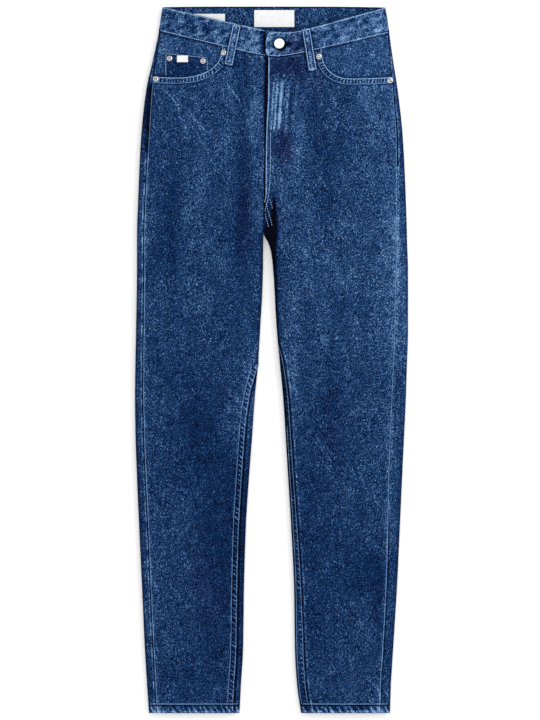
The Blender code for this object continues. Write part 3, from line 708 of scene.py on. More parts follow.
# How the cloth stands beside each line: sideways offset (+ is to the right hand when walking
# along the line from the waist or from the wearer's right), half width, height, paler, unevenness
MOUTH_PROFILE = [
    (0.8, 0.9, 0.15, 0.50, 0.4), (4.5, 4.2, 0.55, -0.05, 0.2), (9.0, 0.9, -0.35, 0.30, 0.7),
    (11.2, 1.2, -0.1, -0.28, 0.5), (16.0, 3.0, 0.1, 0.10, 0.9),
]
WAIST_PROFILE = [(0.0, 0.9, -0.7, -0.85, 0.0), (-2.6, 0.8, 0.1, 0.15, 0.5), (2.4, 1.5, 0.1, 0.18, 0.6)]
HEM_PROFILE = [(0.9, 0.9, -0.5, -0.70, 0.6), (-1.4, 1.0, 0.1, 0.30, 0.9)]
PROFILES = {
    "side_right": [
        (0.0, 0.8, -0.6, -0.55, 0.3), (1.9, 0.9, 0.25, 0.70, 0.7), (-1.9, 0.9, 0.30, 0.50, 0.9),
        (-4.6, 2.0, 0.35, 0.10, 0.5), (7.0, 1.2, 0.15, 0.15, 0.9),
    ],
    "side_left": [(-0.8, 1.2, 0.15, 0.45, 0.8), (4.5, 3.4, 0.45, 0.15, 0.5)],
    "side_right_top": [(0.6, 3.0, -0.5, -1.10, 0.3)],
    "side_left_top": [(0.0, 1.0, -0.8, -1.0, 0.5), (-2.2, 0.8, 0.25, 0.40, 0.6)],
    "side_left_low": [(-0.5, 1.0, -0.7, -1.0, 0.3), (1.7, 0.9, 0.30, 0.60, 0.5)],
    "inseam_right": [
        (-0.7, 1.1, -0.8, -1.00, 0.0), (2.2, 0.8, 0.30, 0.45, 0.7), (6.0, 4.0, 0.55, -0.22, 0.2),
        (8.6, 0.7, -0.4, -0.45, 0.3), (10.6, 0.9, 0.15, 0.45, 0.9),
    ],
    "inseam_left": [
        (-0.1, 0.7, -0.35, -0.70, 0.5), (-3.2, 1.0, 0.30, 0.48, 0.8), (5.0, 4.0, 0.40, -0.22, 0.2),
    ],
    "mouth_right": [(-offset, *sizes) for offset, *sizes in MOUTH_PROFILE],
    "mouth_left": MOUTH_PROFILE,
    "waist_right": WAIST_PROFILE,
    "waist_left": WAIST_PROFILE,
    "fly_j": [(0.0, 1.0, -0.35, -0.45, 0.3), (2.2, 1.4, 0.1, 0.10, 0.8)],
    "hem_right": HEM_PROFILE + [(10.8, 2.0, 0.1, 0.60, 0.9)],
    "hem_left": HEM_PROFILE + [(10.8, 2.0, 0.1, 0.55, 0.9)],
}
# How far outside a line's bounds its marks and its puckers are looked for
SEAM_REACH = 16
PUCKER_REACH = 20

# Puckers between two rows of sewing: from and to offset, spacing, slant, height and paler
PUCKERS = {
    "inseam_right": (1.6, 9.0, 7.4, 0.60, 0.40, 1.15),
    "inseam_left": (1.4, 7.4, 7.4, 0.60, 0.40, 0.95),
    "mouth_right": (-8.8, -1.4, 4.8, 0.20, 0.10, 1.10),
    "mouth_left": (1.4, 8.8, 4.8, 0.20, 0.10, 1.05),
    "hem_right": (1.6, 13.5, 8.4, -0.60, 0.45, 0.85),
    "hem_left": (1.6, 13.5, 10.5, -0.65, 0.50, 0.95),
}


def beside_line(line, across, down):
    """Signed distance from a line, + to the right hand of its run on the page, and distance along."""
    start, run = line[:-1], np.diff(line, axis=0)
    lengths = np.hypot(run[:, 0], run[:, 1])
    walked = np.concatenate([[0], np.cumsum(lengths)[:-1]])
    best = np.full(across.shape, 1e9)
    signed, along = np.zeros(across.shape), np.zeros(across.shape)
    for (a0, d0), (ra, rd), length, before in zip(start, run, lengths, walked):
        t = np.clip(((across - a0) * ra + (down - d0) * rd) / length ** 2, 0, 1)
        gap_across, gap_down = across - a0 - t * ra, down - d0 - t * rd
        distance = np.hypot(gap_across, gap_down)
        nearer = distance < best
        best = np.where(nearer, distance, best)
        hand = np.sign(ra * gap_down - rd * gap_across)
        signed = np.where(nearer, distance * np.where(hand == 0, 1, hand), signed)
        along = np.where(nearer, before + t * length, along)
    return signed, along


def fly_edge(down):
    """How far the fly's edge row lies from the line where the fronts meet."""
    return 3.0 + 1.8 * bell(down - 140, 35)


def loop_outline(ends, across, down):
    """Distance outside the outline of a belt loop, negative inside it."""
    along, beside = along_line(ends, across, down)
    length = hypot(ends[2] - ends[0], ends[3] - ends[1])
    return np.maximum(np.abs(beside) - LOOP_WIDTH / 2, np.abs(along - 0.5) * length - length / 2)


def crease_rows(rows, across, down):
    """Height and paleness of a table of creases."""
    height, worn = np.zeros(across.shape), np.zeros(across.shape)
    for *line, half_width, tall, pale in rows[1:]:
        along, beside = along_line(line, across, down)
        beside = beside + 1.6 * half_width * np.sin(along * 5.0 + line[1])
        ends = ease(along / 0.35) * ease((1 - along) / 0.45)
        shape = ends * bell(beside, half_width)
        height += tall * shape
        worn += pale * shape
    return height, worn


def blots(table, across, down):
    """Sum of a table's soft oval patches."""
    total = np.zeros(across.shape)
    for at_across, at_down, half_across, half_down, strength in table[1:]:
        away = ((across - at_across) / half_across) ** 2 + ((down - at_down) / half_down) ** 2
        total += strength * np.exp(-away)
    return total


def line_seed(name):
    """A number of its own for each line, for its uneven places."""
    return sum(map(ord, name))


def near_lines(names, across, down, reach):
    """Each named line that has places near it: which they are, beside and along it, unevenness."""
    for name in names:
        line = SEAM_LINES[name]
        low, high = line.min(axis=0) - reach, line.max(axis=0) + reach
        near = (across > low[0]) & (across < high[0]) & (down > low[1]) & (down < high[1])
        if near.any():
            beside, along = beside_line(line, across[near], down[near])
            yield name, near, beside, along, ripple(along, 0 * along, 17, line_seed(name))


def pucker_wave(name, beside, along, uneven):
    """Turn of the pucker wave along a line, and how strong the puckers are."""
    first, last, spacing, slant = PUCKERS[name][:4]
    turn = (along + slant * beside + 2.2 * uneven) * 2 * pi / spacing
    inside = stretch(beside, first, 1.5, last, 1.5)
    return turn, inside * (0.65 + 0.35 * ripple(along, 0 * along, 31, line_seed(name) + 2))


def seam_marks(across, down):
    """Ridges, grooves and puckers beside the seams and the sewn edges."""
    height, worn = np.zeros(across.shape), np.zeros(across.shape)
    for name, near, beside, along, uneven in near_lines(PROFILES, across, down, SEAM_REACH):
        fine = ripple(along, 0 * along, 6, line_seed(name) + 1)
        for offset, half_width, tall, pale, rough in PROFILES[name]:
            mark = bell(beside - offset + 0.35 * rough * uneven, half_width)
            height[near] += tall * mark
            worn[near] += pale * mark * (1 + rough * np.clip(uneven + 0.6 * fine, -1, 1))
        if name in PUCKERS:
            turn, strength = pucker_wave(name, beside, along, uneven)
            height[near] += PUCKERS[name][4] * np.sin(turn) * strength
    return height, worn


def fly_marks(across, down):
    """The gap where the fronts meet with painted shadow in and beside it, the fly's pale edge and its long
    ridges.
    """
    beyond = across - front_meet(np.minimum(down, CROTCH))
    open_part = 1 - ease((down - 125) / 105)
    # Painted shadow in the gap, where the lapped front shades the right front
    gap = np.minimum(1.7 * bell(beyond - 1.0 + 0.2 * open_part, 1.0 + 0.8 * open_part), 1)
    gap = gap * ease((332 - down) / 10)
    edge = bell(beyond - fly_edge(down), 1.0) * ease((300 - down) / 10)
    height = 0.2 * edge - 0.6 * gap
    worn = edge * (0.75 + 0.4 * open_part) + 1.4 * gap * (edge - 1)
    # Painted shadow beside the gap, on the right front
    worn -= 0.32 * bell(np.minimum(beyond + 1, 0), 2.4) * open_part * (beyond < 1)
    reach = stretch(down, 108, 16, 200, 14) * stretch(beyond, 4, 2, FLY_WIDTH + 18, 6)
    for offset, half_width, tall, pale in FLY_RIDGES[1:]:
        ridge = bell(beyond - offset + (down - 150) * 0.045, half_width) * reach
        height += tall * ridge
        worn += pale * ridge * (1 + 0.25 * ripple(down, 0 * down, 31, int(offset)))
    return height, worn


def painted_crotch_shade(across, down):
    """Painted shade in the crotch and along the inner edge of the left leg, where the legs fall into shadow:
    how much darker they are.
    """
    beyond = across - front_meet(np.minimum(down, CROTCH))
    from_inner = across - leg_line["left"]["inner"](np.maximum(down, CROTCH + 55))
    wide = 1.0 + 3.2 * ease((down - 290) / 50)
    wedge = stretch(down, 284, 24, CROTCH + 14, 16) * np.minimum(1.5 * bell(across - 3.8, wide), 1)
    tucked = stretch(down, 300, 12, CROTCH + 6, 8) * (1 - ease((across - 1) / 4))
    shade = 1.5 * wedge * (beyond > 0) + 0.34 * tucked * (beyond > 0.6)
    strip = ease((leg_line["left"]["inseam"](down) + 0.5 - from_inner) / 1.5)
    strip = strip * ease((down - 500) / 60) * (1 - ease((down - 700) / 140))
    inner = bell(np.maximum(from_inner, 0), 4.4 - 2.0 * ease((down - 370) / 120))
    inner = inner * ease((down - 330) / 30) * (1 - ease((down - 470) / 190))
    inner = inner * np.where(down < CROTCH + 6, ease((across + 2) / 4), 1.0)
    return shade + (0.34 * strip + 1.35 * inner) * (across > -13)


def painted_loop_shadow(across, down):
    """Painted shadow beside the front belt loops: how much darker the cloth is there."""
    outlines = [loop_outline(ends, across, down) for ends in FRONT_LOOPS.values()]
    return sum(0.75 * bell(outline, 1.5) * (outline > -1.0) for outline in outlines)


def top_relief(across, down):
    """Fine height and paleness of the top side: creases, seams, puckers, the wash, and painted shade in the
    crotch, in the fly's gap and beside the belt loops.
    """
    shape = across.shape
    across, down = across.ravel(), down.ravel()
    height = 0.22 * ripple(across, down * 0.6, 42, 3) + 0.10 * ripple(across, down, 15, 4)
    # The painted shade of the crotch and beside the loops is taken off the wash and the painted light of the
    # patches
    worn = blots(WASH_AND_PAINTED_LIGHT, across, down) - painted_loop_shadow(across, down) - painted_crotch_shade(across, down)
    for marks in (crease_rows(CREASES, across, down), seam_marks(across, down), fly_marks(across, down)):
        height += marks[0]
        worn += marks[1]
    return height.reshape(shape), worn.reshape(shape)


def pucker_marks(names, across, down):
    """Turn of the pucker wave along the sewing, and how strongly the puckers are worn."""
    turn, strength = np.zeros(across.shape), np.zeros(across.shape)
    for name, near, beside, along, uneven in near_lines(names, across, down, PUCKER_REACH):
        first, last = PUCKERS[name][:2]
        here, worn = pucker_wave(name, beside, along, uneven)
        reach = np.abs(beside - (first + last) / 2) < 0.5 * (last - first) + 5
        turn[near] = np.where(reach, here, turn[near])
        strength[near] = np.where(reach, PUCKERS[name][5] * worn, strength[near])
    return turn, strength


def pocket_outline(side, across, down):
    """Distance outside the outline of a back pocket, negative inside it."""
    size = BACK_POCKET
    beside = np.abs(across - SIGN[side] * size["middle"])
    part = (down - size["top"]) / (size["side"] - size["top"])
    half = size["half_top"] + (size["half_bottom"] - size["half_top"]) * np.clip(part, 0, 1)
    bottom = size["tip"] - (size["tip"] - size["side"]) * np.minimum(beside / half, 1)
    return np.maximum.reduce([beside - half, size["top"] - down, down - bottom])


def under_relief(across, down):
    """Creases, seams and wear of the underside, which rests flat elsewhere."""
    height, worn = crease_rows(UNDER_CREASES, across, down)
    worn = worn + 0.05 * ripple(across, down, 60, 8)
    seat = bell(across - back_meet(down), 1.5) * (down < CROTCH)
    worn -= 0.9 * seat - 0.35 * bell(np.abs(across - back_meet(down)) - 3.4, 1.4) * (down < CROTCH - 6)
    for side in SIGN:
        on_side = (across - back_meet(down)) * SIGN[side] > 0
        from_yoke = down - yoke_line(side, across, np.minimum(down, 200.0))
        worn -= on_side * (0.9 * bell(from_yoke, 1.4) - 0.45 * bell(from_yoke - 3.4, 1.5))
        outside = pocket_outline(side, across, down)
        worn -= 0.75 * bell(outside, 2.2) * (outside > -2)
    worn -= 0.7 * bell(down - HEM_TOP, 1.2) - 0.5 * bell(down - LENGTH, 3.0)
    worn -= 0.6 * bell(down - band_seam(across, down, False) - 1.0, 1.8)
    return np.minimum(height, 0), worn


def relief(places, front):
    """Fine height and paleness at places on the cloth."""
    across, down = page_place(places)
    top_height, top_worn = top_relief(across, down)
    under_height, under_worn = under_relief(across, down)
    return np.where(front, top_height, under_height), np.where(front, top_worn, under_worn)


# Materials

class Value:
    """A shader socket that can be used in sums and products."""

    def __init__(self, finish, socket):
        self.finish, self.socket = finish, socket

    def apply(self, operation, *others):
        values = [self.socket] + [o.socket if isinstance(o, Value) else o for o in others]
        made = self.finish.node("ShaderNodeMath", {"operation": operation}, values)
        return Value(self.finish, made.outputs[0])

    def __add__(self, other):
        return self.apply("ADD", other)

    def __mul__(self, other):
        return self.apply("MULTIPLY", other)

    def __sub__(self, other):
        return self.apply("SUBTRACT", other)

    def __rsub__(self, other):
        return self.apply("MULTIPLY", -1.0).apply("ADD", other)

    __radd__ = __add__
    __rmul__ = __mul__


class Finish:
    """A material made of a few nodes."""

    def __init__(self, name, roughness, metallic=0.0, sheen=0.0, specular=0.5):
        self.material = bpy.data.materials.new(name)
        self.material.use_nodes = True
        self.tree = self.material.node_tree
        self.shader = self.tree.nodes["Principled BSDF"]
        self.shader.inputs["Roughness"].default_value = roughness
        self.shader.inputs["Metallic"].default_value = metallic
        self.shader.inputs["Sheen Weight"].default_value = sheen
        self.shader.inputs["Specular IOR Level"].default_value = specular

    def node(self, kind, settings=None, inputs=()):
        made = self.tree.nodes.new(kind)
        for key, value in (settings or {}).items():
            if key == "stops":
                ramp = made.color_ramp
                while len(ramp.elements) < len(value):
                    ramp.elements.new(0.5)
                for element, (position, colour) in zip(ramp.elements, value):
                    element.position, element.color = position, (*colour, 1)
            else:
                setattr(made, key, value)
        pairs = inputs.items() if isinstance(inputs, dict) else enumerate(inputs)
        for key, value in pairs:
            value = value.socket if isinstance(value, Value) else value
            if isinstance(value, bpy.types.NodeSocket):
                self.tree.links.new(value, made.inputs[key])
            else:
                made.inputs[key].default_value = value
        return made

    def places(self, stretch=(1, 1, 1), turn=0.0):
        """Object coordinates in millimetres, turned and squeezed for a pattern."""
        source = self.node("ShaderNodeTexCoord").outputs["Object"]
        scale = tuple(1000 / s for s in stretch)
        turned = self.node("ShaderNodeMapping", {}, {"Vector": source, "Rotation": (0, 0, turn)}).outputs[0]
        shifted = {"Vector": turned, "Scale": scale, "Location": OFF_LATTICE}
        return self.node("ShaderNodeMapping", {}, shifted).outputs[0]

    def noise(self, places, detail=2.0, rough=0.5, scale=1.0):
        made = self.node("ShaderNodeTexNoise", {}, {"Vector": places, "Scale": scale, "Detail": detail,
                                                    "Roughness": rough})
        return Value(self, made.outputs["Fac"])

    def attribute(self, name):
        return Value(self, self.node("ShaderNodeAttribute", {"attribute_name": name}).outputs["Fac"])

    def colour(self, level, stops, raw=None):
        """Colour from a ramp, where wished with the unwashed tint mixed in."""
        colour = self.node("ShaderNodeValToRGB", {"stops": stops}, {0: level}).outputs[0]
        if raw:
            colour = self.node("ShaderNodeMix", {"data_type": "RGBA", "blend_type": "MULTIPLY"},
                               {0: raw, 6: colour, 7: RAW_TINT}).outputs[2]
        self.tree.links.new(colour, self.shader.inputs["Base Color"])

    def bump(self, height, distance, strength=1.0):
        made = self.node("ShaderNodeBump", {}, {"Height": height, "Distance": distance, "Strength": strength})
        self.tree.links.new(made.outputs[0], self.shader.inputs["Normal"])


# Shifts the patterns off the noise's own lattice, on which the flat underside would lose contrast
OFF_LATTICE = (0, 0, 0.43)
# How strongly each pattern of the denim changes its tone
TONE = {"base": 0.474, "slub": 1.75, "warp": 1.25, "speckle": 1.85, "cloud": 0.30, "mottle": 0.42,
        "twill": 0.06, "worn": 0.60, "calmed": 0.42, "bright_cut": 0.34}
INDIGO_STOPS = [
    (0.00, (0.0006, 0.0012, 0.0050)),
    (0.15, (0.0004, 0.0048, 0.0280)),
    (0.31, (0.0008, 0.0105, 0.0525)),
    (0.50, (0.0041, 0.0245, 0.0885)),
    (0.69, (0.0142, 0.0530, 0.1540)),
    (0.80, (0.0300, 0.0840, 0.2080)),
    (0.91, (0.0780, 0.1600, 0.3150)),
    (1.00, (0.1950, 0.3200, 0.5000)),
]
RAW_TINT = (1.9, 0.80, 0.84, 1.0)


def denim(name, lift=0.0, contrast=1.0):
    """Stone-washed twill: slubby warp, fine diagonal lines, mottled wash, worn high places and painted shade,
    both carried in one mark.
    """
    finish = Finish(name, 0.85, sheen=0.01, specular=0.03)
    slub = finish.noise(finish.places((0.85, 2.8, 0.85), -0.60), 0.0)
    warp = finish.noise(finish.places((0.8, 2.2, 0.8), 0.15), 0.0)
    speckle = finish.noise(finish.places((1.0, 1.2, 1.0)), 1.0, 0.5)
    cloud = finish.noise(finish.places((38, 60, 38)), 3.0, 0.5)
    mottle = finish.noise(finish.places((8, 18, 8), -0.15), 3.0, 0.6)
    twill = finish.node("ShaderNodeTexWave", {"wave_type": "BANDS", "bands_direction": "X"},
                        {"Vector": finish.places((1, 1, 1), 1.05), "Scale": 0.36, "Distortion": 0.6,
                         "Detail": 1.0, "Detail Scale": 2.0})
    twill = Value(finish, twill.outputs["Fac"])
    wave = finish.attribute("pucker_turn").apply("SINE")
    bars = wave.apply("MAXIMUM", 0.0)
    bars = bars * bars + wave.apply("MINIMUM", 0.0) * 0.40
    pucker = bars * finish.attribute("pucker")
    # The mark lightens with wear and darkens with painted shade at the edges, in the crotch, in the fly's gap
    # and beside the loops
    worn = finish.attribute("worn") + pucker
    calm = contrast - worn.apply("ABSOLUTE") * TONE["calmed"]
    grain = (slub - 0.5) * TONE["slub"] + (warp - 0.5) * TONE["warp"] + (speckle - 0.5) * TONE["speckle"]
    grain = grain - grain.apply("MAXIMUM", 0.0) * TONE["bright_cut"]
    level = TONE["base"] + lift + grain * calm + (cloud - 0.5) * TONE["cloud"]
    level = level + (mottle - 0.5) * TONE["mottle"] + (twill - 0.5) * TONE["twill"] + worn * TONE["worn"]
    finish.colour(level, INDIGO_STOPS, finish.attribute("raw"))
    finish.bump(twill * 0.35 + slub * 0.8 + speckle * 0.6 + pucker * 1.2, 0.00022, 0.8)
    return finish.material


def thread(name, dark, light):
    """Twisted cotton thread."""
    finish = Finish(name, 0.6, sheen=0.03, specular=0.15)
    fibres = finish.noise(finish.places((0.5, 0.5, 0.5)), 2.0)
    worn = finish.noise(finish.places((16, 16, 16)), 2.0)
    finish.colour(fibres * 0.5 + worn * 0.5, [(0.3, dark), (0.7, light)])
    finish.bump(fibres, 0.0001)
    return finish.material


def woven_label(name):
    """Plain white woven tape."""
    finish = Finish(name, 0.7, sheen=0.1)
    ribs = finish.node("ShaderNodeTexWave", {"wave_type": "BANDS", "bands_direction": "Y"},
                       {"Vector": finish.places((1, 1, 1)), "Scale": 0.5, "Distortion": 0.3})
    ribs = Value(finish, ribs.outputs["Fac"])
    soft = finish.noise(finish.places((7, 7, 7)), 2.0)
    finish.colour(ribs * 0.3 + soft * 0.7, [(0.2, (0.62, 0.62, 0.64)), (0.8, (0.76, 0.76, 0.77))])
    finish.bump(ribs, 0.0001)
    return finish.material


def silver(name, low, high, roughness, hollow=(0.05, 0.05, 0.055)):
    """Plain bright cast metal, softly worn, with painted shade laid in a ring over a hollow or a rim."""
    finish = Finish(name, roughness, metallic=1.0)
    marks = finish.noise(finish.places((1.6, 1.6, 1.6)), 3.0, 0.6)
    # Painted shade where the hollow mark is high
    shade = marks * 0.4 + 0.5 - finish.attribute("hollow") * 0.6
    finish.colour(shade, [(0.05, hollow), (0.55, low), (0.85, high)])
    rub = finish.noise(finish.places((0.5, 3.0, 0.5), 0.6), 2.0)
    polish = rub * 0.2 + (roughness - 0.1)
    finish.tree.links.new(polish.socket, finish.shader.inputs["Roughness"])
    finish.bump(marks, 0.00008)
    return finish.material


# Building cloth

def finished(piece, slot_name, material, *nodes):
    """Give a piece its finish and its place in the model."""
    piece.data.materials.append(material)
    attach(piece, "root")
    if nodes:
        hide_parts(*nodes)
    return piece


def unwashed(across, down):
    """How much of the unwashed navy is left, from 0 to 1."""
    return np.minimum(blots(RAW, across, down), 1.0)


def grid_faces(rows, columns, first, turned):
    """Quads of a grid whose points start at first."""
    index = first + np.arange(rows * columns).reshape(rows, columns)
    a, b = index[:-1, :-1], index[:-1, 1:]
    c, d = index[1:, 1:], index[1:, :-1]
    ring = (a, b, c, d) if turned else (a, d, c, b)
    return np.stack([corner.ravel() for corner in ring], axis=1)


def cloth(name, surface, normal, down, turn, levels, details, slot_name, material, nodes=(),
          inside=None, puckered=()):
    """A thin shell over a grid of places, with its fine height and its colour of wear and painted shade."""
    rows, columns = down.shape
    base, out = surface(down, turn), normal(down, turn)
    height, worn = details(base, turn)
    low, high = levels(down, base[..., 0], turn)
    upper = base + (high + height)[..., None] * out
    lower = base + (low + height)[..., None] * out
    for face in (upper, lower):
        face[..., 2] = np.maximum(face[..., 2], 0.0)
    count = rows * columns
    slope = np.cross(base[1, 0] - base[0, 0], base[0, 1] - base[0, 0])
    turned = float(np.dot(slope, out[0, 0])) < 0
    faces = [grid_faces(rows, columns, 0, not turned), grid_faces(rows, columns, count, turned)]
    index = np.arange(count).reshape(rows, columns)
    rim = np.concatenate([index[0, :], index[1:, -1], index[-1, -2::-1], index[-2:0:-1, 0]])
    ahead = np.roll(rim, -1)
    ring = [rim, ahead, ahead + count, rim + count]
    faces.append(np.stack(ring if turned else ring[::-1], axis=1))
    points = np.concatenate([lower.reshape(-1, 3), upper.reshape(-1, 3)]) * MM
    mesh = bpy.data.meshes.new(name)
    mesh.from_pydata(points.tolist(), [], np.concatenate(faces).tolist())
    wear_and_shade_inside = WEAR_AND_SHADE_INSIDE * worn if inside is None else inside
    across, down = (part.ravel() for part in page_place(base))
    on_top = out[..., 2].ravel() > ON_TOP
    # Wear and painted shade together, for the inner and the outer face
    marks = {"worn": np.concatenate([wear_and_shade_inside.ravel(), worn.ravel()]),
             "raw": np.tile(unwashed(across, down) * on_top, 2)}
    if puckered:
        wave, strength = pucker_marks(puckered, across, down)
        marks["pucker_turn"] = np.concatenate([0 * wave, wave])
        marks["pucker"] = np.concatenate([0 * wave, strength * on_top])
    for mark, values in marks.items():
        mesh.attributes.new(mark, "FLOAT", "POINT").data.foreach_set("value", values.astype(np.float32))
    mesh.shade_smooth()
    mesh.set_sharp_from_angle(angle=SHARP_ANGLE)
    piece = bpy.data.objects.new(name, mesh)
    bpy.context.scene.collection.objects.link(piece)
    finished(piece, slot_name, material, *nodes)
    step_down = np.linalg.norm(np.diff(base, axis=0), axis=2).sum(axis=0).max()
    step_across = np.linalg.norm(np.diff(base, axis=1), axis=2).sum(axis=1).max()
    across_edge, down_edge = np.diff(base, axis=1)[:-1], np.diff(base, axis=0)[:, :-1]
    return piece


def spread(count, crowding):
    """Shares from 0 to 1, closer together at both ends."""
    u = np.linspace(0, 1, count)
    return u - crowding * np.sin(2 * pi * u) / (2 * pi)


def edge_roll(shares, width, drop):
    """Cloth edges roll down a little: how far, for shares across a piece of the given width."""
    from_edge = np.minimum(shares, 1 - shares) * width
    return -drop * np.exp(-from_edge / 0.7)


def painted_edge_shade(turn, down):
    """Painted shade where the cloth turns over and away at the outer and the inner edge."""
    on_edge = (np.cos(turn) > 0) | (down > CROTCH)
    return -0.75 * np.exp(-(np.sin(turn) / 0.36) ** 2) * on_edge


def panel_levels(side, front):
    """Faces of a panel: thicker at the turned hem, raised over the fly."""
    def levels(down, across, turn):
        wall = DENIM + (HEM_CLOTH - DENIM) * ease((down - HEM_TOP + 1.5) / 1.5)
        raised = np.zeros(down.shape)
        if front and side == "left":
            over = ease((front_meet(np.minimum(down, CROTCH)) + FLY_WIDTH - across) / 6.0)
            raised = FLY_RAISE * over * ease((FLY_BOTTOM - down) / 25.0)
        return raised - wall, raised
    return levels


def panel_rows(top, rows_above):
    """Rows of all columns: spread from the top edge to the first station, then to the hem."""
    shares = np.linspace(0, 1, rows_above, endpoint=False)[:, None]
    above = top[None, :] + (FIRST_STATION - top[None, :]) * shares
    below = np.concatenate([np.linspace(FIRST_STATION, HEM_TOP, PANEL_ROWS, endpoint=False),
                            np.linspace(HEM_TOP, LENGTH, HEM_ROWS)])
    return np.concatenate([above, np.repeat(below[:, None], len(top), axis=1)])


def front_panel(side, material):
    """Front panel from the side seam to the middle line and the inseam, with the pocket mouth cut."""
    shares = spread(PANEL_COLUMNS, 0.75)

    def turn(down, part):
        start, end = side_turn(side, down, True), inseam_turn(side, down, True)
        first, last = section_place(start, LEG_POWER)[0], section_place(end, LEG_POWER)[0]
        level = first + (last - first) * part
        inside = np.arctan2(arch(level, LEG_POWER), level)
        return np.where(part <= 0, start, np.where(part >= 1, end, inside))

    def top_edge(across, down):
        return np.maximum(band_seam(across, down, True), mouth_line(side, across)) + LAYER_GAP

    top = settle(lambda d: side_surface(side, d, turn(d, shares)), top_edge, np.full(len(shares), 80.0))
    down = panel_rows(top, TOP_ROWS["front"])
    part = np.repeat(shares[None, :], len(down), axis=0)

    def details(base, turns):
        height, worn = relief(base, np.full(turns.shape, True))
        roll = edge_roll(part, 150.0, 0.35) * (turns < 2.9)
        return height + roll, worn + painted_edge_shade(turns, LENGTH / 2 - base[..., 1])

    return cloth(f"front_panel_{side}", lambda d, t: side_surface(side, d, t), side_normal(side), down,
                 turn(down, part), panel_levels(side, True), details, "denim", material, [f"front_{side}"],
                 puckered=[f"inseam_{side}", f"mouth_{side}", f"hem_{side}"])


def yoke_line(side, across, down):
    """Down-position of the slanted seam under the yoke."""
    outer, inner = edges(side, down, False)
    return YOKE_SIDE + (YOKE_MIDDLE - YOKE_SIDE) * (outer - across) / (outer - inner)


def back_pieces(side, material):
    """Back panel and the yoke over it."""
    shares = spread(PANEL_COLUMNS, 0.45)

    def turn(down, part):
        start, end = side_turn(side, down, False), inseam_turn(side, down, False)
        return start + (end - start) * part

    def place(down):
        return side_surface(side, down, turn(down, shares))

    def seam_edge(across, down):
        return band_seam(across, down, turn(down, shares) > 0) + LAYER_GAP

    start = np.full(len(shares), 60.0)
    top = settle(place, seam_edge, start)
    seam = settle(place, lambda across, down: yoke_line(side, across, down), start)
    surface, normal = (lambda d, t: side_surface(side, d, t)), side_normal(side)

    def details(base, turns):
        front = np.sin(turns) > 0
        height, worn = relief(base, front)
        rise = np.minimum(np.abs(np.sin(turns)) * 3, 1)
        return height * np.where(front, rise, 1), worn * rise + painted_edge_shade(turns, LENGTH / 2 - base[..., 1])

    steps = np.linspace(0, 1, YOKE_ROWS)[:, None]
    down = top[None, :] + (seam - SEAM_GAP / 2 - top)[None, :] * steps
    part = np.repeat(shares[None, :], len(down), axis=0)
    cloth(f"yoke_shell_{side}", surface, normal, down, turn(down, part), panel_levels(side, False), details,
          "denim", material, [f"yoke_{side}"])
    down = panel_rows(seam + SEAM_GAP / 2, TOP_ROWS["back"])
    part = np.repeat(shares[None, :], len(down), axis=0)
    cloth(f"back_panel_{side}", surface, normal, down, turn(down, part), panel_levels(side, False), details,
          "denim", material, [f"back_{side}"],
          puckered=[f"inseam_{side}", f"hem_{side}"])


def lap_shift(side, across):
    """The left end of the band is lifted over the right end, which is pressed under it."""
    if side == "left":
        fade_from = BUTTON["across"] + LAP_BEYOND_BUTTON
        return LAP_SHIFT * (1 - ease((across - fade_from) / LAP_FADE))
    return -LAP_SHIFT * ease((across - FLAP_END + LAP_FADE + 2) / LAP_FADE)


def hip_turn_at(across, down):
    """Angle of a top-side place of the hips."""
    right, left = edges("right", down, True)[0], edges("left", down, True)[0]
    part = (2 * across - right - left) / (left - right)
    return float(np.arctan2(arch(part, HIP_POWER), part))


def flap_drop(across):
    """How much lower the top edge of the lapped end is, with its round corner."""
    near = np.clip(1 - (across - FLAP_END) / FLAP_DROP["length"], 0, 1)
    corner = np.clip(1 - (across - FLAP_END) / FLAP_CORNER, 0, 1)
    return FLAP_DROP["depth"] * near ** 1.5 + FLAP_CORNER * 0.6 * (1 - np.sqrt(1 - corner ** 2))


def flap_swell(share):
    """The lapped end curves out in its middle: 1 there and -1 at its corners."""
    return 1 - 2 * np.abs(2 * share - 1) ** 2.4


